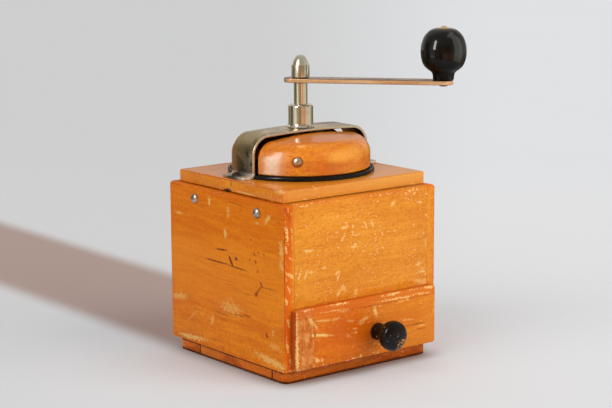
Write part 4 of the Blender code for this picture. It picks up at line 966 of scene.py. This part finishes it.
worn_top = black.fade(apart, 0.0049, 0.0038)
black.paint((0.085, 0.055, 0.024), (apart, 0.01, 0.005), 0.6)
black.paint((0.62, 0.4, 0.2), worn_top)
underside = black.times(black.fade(black.z, low.z + 0.02, low.z + 0.008), 0.8)
black.give(Coat_Weight=black.scaled(black.sums("MAXIMUM", worn_top, underside), -0.6, 0.66))
black.bump(black.times(worn_top, -1), 0.4)
dress(grip, black, "grip", "black_lacquer", "crank_knob")

# Grinding works. Cast-iron ring and cone burrs, a bent saddle under them, and the setting screw with
# its knurled nut that raises and lowers the shaft. All bare metal, grey with coffee dust.
iron = metal("dusty cast iron", (0.17, 0.165, 0.16), (0.1, 0.095, 0.09), 0.45, (0.13, 0.075, 0.04),
             0.45, 90, metallic=0.9, shade=0.4)
coat_node(iron, "outer_burr", "inner_burr", "burr_saddle")
coat_node(screw_steel, "burr_screw_1", "burr_screw_2", "burr_screw_3", "left_saddle_screw",
          "right_saddle_screw", "setting_screw", "setting_nut")

# Floor. A pale seamless floor with light painted into its colour: lighter to the right, as if lit from
# there, a little darker further back, cooler near the grinder to take out the warm light that the wood
# bounces onto it, and a reddish painted shadow in front of the plinth. The pale surround lights it from
# all round.
clear()
bpy.ops.mesh.primitive_plane_add(size=8, location=(0, 0, 0))
floor = named("floor")
paper = Finish("pale paper")
# The floor is painted lighter to the right, as if lit from there, and a little darker further back.
bearing = paper.sums("ARCTAN2", paper.sums("ADD", paper.y, 0.926), paper.sums("ADD", paper.x, 0.728))
side = paper.fade(bearing, math.radians(54), math.radians(45))
far = paper.fade(paper.scaled(paper.x, 0.62, paper.sums("MULTIPLY", paper.y, 0.784)), -0.1, 1.2)
mottle = paper.spots(3)
paper.give(Base_Color=paper.tint(side, (0.66, 0.67, 0.685), (0.79, 0.805, 0.825)),
           Roughness=paper.scaled(mottle, 0.1, 0.8), Specular_IOR_Level=0)
paper.paint(paper.tint(side, (0.63, 0.645, 0.662), (0.765, 0.79, 0.825)), far)
# A cooler tint painted near the grinder, to take out the warm light that the wood bounces onto the
# floor.
bounce_cancel = paper.fade(paper.vector("LENGTH", paper.place)[1], 0.32, 0.07)
paper.paint((0.755, 0.8, 0.85), bounce_cancel, 0.8)
# A reddish shadow painted on the floor in front of the plinth.
painted_plinth_shadow = paper.fade(paper.y, plinth_low.y - 0.016, plinth_low.y)
paper.paint((0.36, 0.235, 0.19), painted_plinth_shadow, (paper.off(paper.x), 0.078, 0.05), 0.8)
paper.paint((0.5, 0.5, 0.5), mottle, 0.06)
floor.data.materials.append(paper.material)

world = bpy.data.worlds.new("room")
bpy.context.scene.world = world
world.use_nodes = True
surround = Recipe(world.node_tree)
facing = surround.vector("DOT_PRODUCT", surround.step("TexCoord")["Generated"], (0.62, 0.784, 0))[1]
surround.fill(world.node_tree.nodes["Background"].inputs["Color"],
              surround.tint(surround.fade(facing, -0.1, 0.5), (0.42, 0.4, 0.38), (0.66, 0.65, 0.65)))

# Room. What the metal reflects: a round wall of dim brown and cream with a bright sill at the window,
# which the camera doesn't see and which lights nothing itself.
clear()
bpy.ops.mesh.primitive_cylinder_add(vertices=96, radius=0.42, depth=0.7, end_fill_type="NOTHING",
                                    location=(0, 0, 0.352))
walls = named("room walls")
bpy.ops.object.transform_apply()
walls.visible_camera = walls.visible_diffuse = walls.visible_shadow = False
room = Finish("room colours")
bearing = room.sums("ARCTAN2", room.sums("MULTIPLY", room.y, -1), room.sums("MULTIPLY", room.x, -1))
bearing = room.scaled(bearing, 0.5 / math.pi, 0.5)
low_hues = ((0, 0.16, 0.13, 0.08), (20, 0.16, 0.13, 0.08), (100, 0.17, 0.14, 0.09),
            (118, 0.34, 0.29, 0.2), (134, 0.1, 0.075, 0.045), (156, 0.12, 0.09, 0.06),
            (165, 0.74, 0.74, 0.62), (189, 0.72, 0.7, 0.58), (198, 0.16, 0.11, 0.07),
            (206, 0.42, 0.31, 0.2), (216, 0.42, 0.3, 0.19), (224, 0.15, 0.09, 0.05),
            (233, 0.22, 0.13, 0.08), (239, 0.86, 0.56, 0.32), (254, 0.9, 0.5, 0.28),
            (260, 0.92, 0.33, 0.19), (272, 0.9, 0.36, 0.21), (281, 0.7, 0.62, 0.48),
            (330, 0.66, 0.6, 0.48), (348, 0.3, 0.25, 0.17), (359, 0.16, 0.13, 0.08))
high_hues = ((0, 0.2, 0.18, 0.15), (45, 0.1, 0.09, 0.07), (110, 0.1, 0.09, 0.07),
             (152, 0.12, 0.1, 0.08), (160, 0.6, 0.57, 0.5), (190, 0.6, 0.57, 0.5),
             (198, 0.26, 0.19, 0.12), (236, 0.34, 0.23, 0.14), (272, 0.3, 0.2, 0.13),
             (286, 0.5, 0.5, 0.47), (335, 0.66, 0.65, 0.61), (359, 0.2, 0.18, 0.15))
bands = []
for hues in (low_hues, high_hues):
    band = room.tree.nodes.new("ShaderNodeValToRGB")
    stops = band.color_ramp.elements
    for degrees, *colour in hues:
        stop = stops.new(degrees / 360) if degrees else stops[0]
        stop.color = (*colour, 1)
    stops.remove(stops[-1])
    room.fill(band.inputs[0], bearing)
    bands.append(band.outputs[0])
room.give(Base_Color=(0, 0, 0), Specular_IOR_Level=0, Emission_Strength=1)
shown = room.tint(room.fade(room.z, 0.158, 0.168), *bands)
sill_end = room.fade(room.off(bearing, 178 / 360), 0.04, 0.026)
sill = room.times(room.fade(room.z, 0.1, 0.092), room.fade(room.z, 0.07, 0.076), sill_end)
behind = room.times(room.fade(bearing, 125 / 360, 100 / 360), room.fade(room.z, 0.17, 0.182))
above = room.times(room.fade(room.z, 0.32, 0.45), 0.8)
for mask, colour in ((sill, (2.6, 2.6, 2.5)), (behind, (0.66, 0.64, 0.62)),
                     (above, (0.44, 0.42, 0.38))):
    shown = room.tint(mask, shown, colour)
room.give(Emission_Color=shown)
walls.data.materials.append(room.material)

# Lights. A large soft light from the right front and a window to the left, with bright panes that only
# show in what reflects them: one in all pieces, one in the dome and one in the crank's knob.


def lamp(name, kind, power, colour, toward, place=(0, 0, 0), track="Z", **settings):
    """A light that comes from a way, or goes along it where it tracks -Z."""
    light = bpy.data.lights.new(name, kind)
    light.energy, light.color = power, colour
    for setting, value in settings.items():
        setattr(light, setting, value)
    holder = bpy.data.objects.new(name, light)
    bpy.context.scene.collection.objects.link(holder)
    holder.location = place
    holder.rotation_euler = Vector(toward).to_track_quat(track, "Y").to_euler()
    return holder


def pane(name, place, aim, size, power, colour, *shown_in):
    """A bright pane that only shows in what reflects it, or only in the pieces named."""
    holder = lamp(name, "AREA", power, colour, Vector(aim) - Vector(place), place, "-Z",
                  shape="RECTANGLE", size=size[0], size_y=size[1])
    holder.visible_diffuse = holder.visible_camera = False
    if shown_in:
        pieces = bpy.data.collections.new("what the " + name + " shows in")
        for piece in shown_in:
            pieces.objects.link(bpy.data.objects[piece])
        holder.light_linking.receiver_collection = pieces


for name, toward, power in (("soft light", (0.35, -0.82, 0.45), 1.95),
                            ("window light", (-0.9, -0.14, 0.42), 1.5)):
    lamp(name, "SUN", power, (1, 0.99, 0.97), toward, angle=math.radians(60)).visible_glossy = False
pane("window pane", (-0.4, -0.08, 0.4), (0, -0.08, 0.4), (0.1, 0.32), 1.38, (1, 0.99, 0.98))
pane("low window pane", (-0.4, -0.068, 0.165), (0, -0.068, 0.165), (0.22, 0.2), 1.58,
     (0.44, 1, 0.97), "dome_front_half", "dome_rear_half")
pane("side window pane", (0.245, -0.312, 0.62), (0.062, -0.074, 0.62), (0.66, 1.16), 2.9,
     (1, 1, 0.9), "crank_grip")

# Camera. It looks down a little on the left front corner, from about 1.2 m.
turn_round, look_down, roll = math.radians(-38.327), math.radians(10.474), math.radians(-0.303)
aim, stand_off = (0, 0, 0.1), (0.003226, 0.003472, 1.198553)
lens = bpy.data.cameras.new("camera")
lens.sensor_width, lens.lens, lens.clip_end = 36, 102.88, 20
camera = bpy.data.objects.new("camera", lens)
bpy.context.scene.collection.objects.link(camera)
camera.matrix_world = (Matrix.Translation(aim) @ Matrix.Rotation(turn_round, 4, "Z")
                       @ Matrix.Rotation(math.pi / 2 - look_down, 4, "X")
                       @ Matrix.Translation(stand_off) @ Matrix.Rotation(roll, 4, "Z"))
bpy.context.scene.camera = camera
bpy.context.scene.view_settings.view_transform = "Standard"
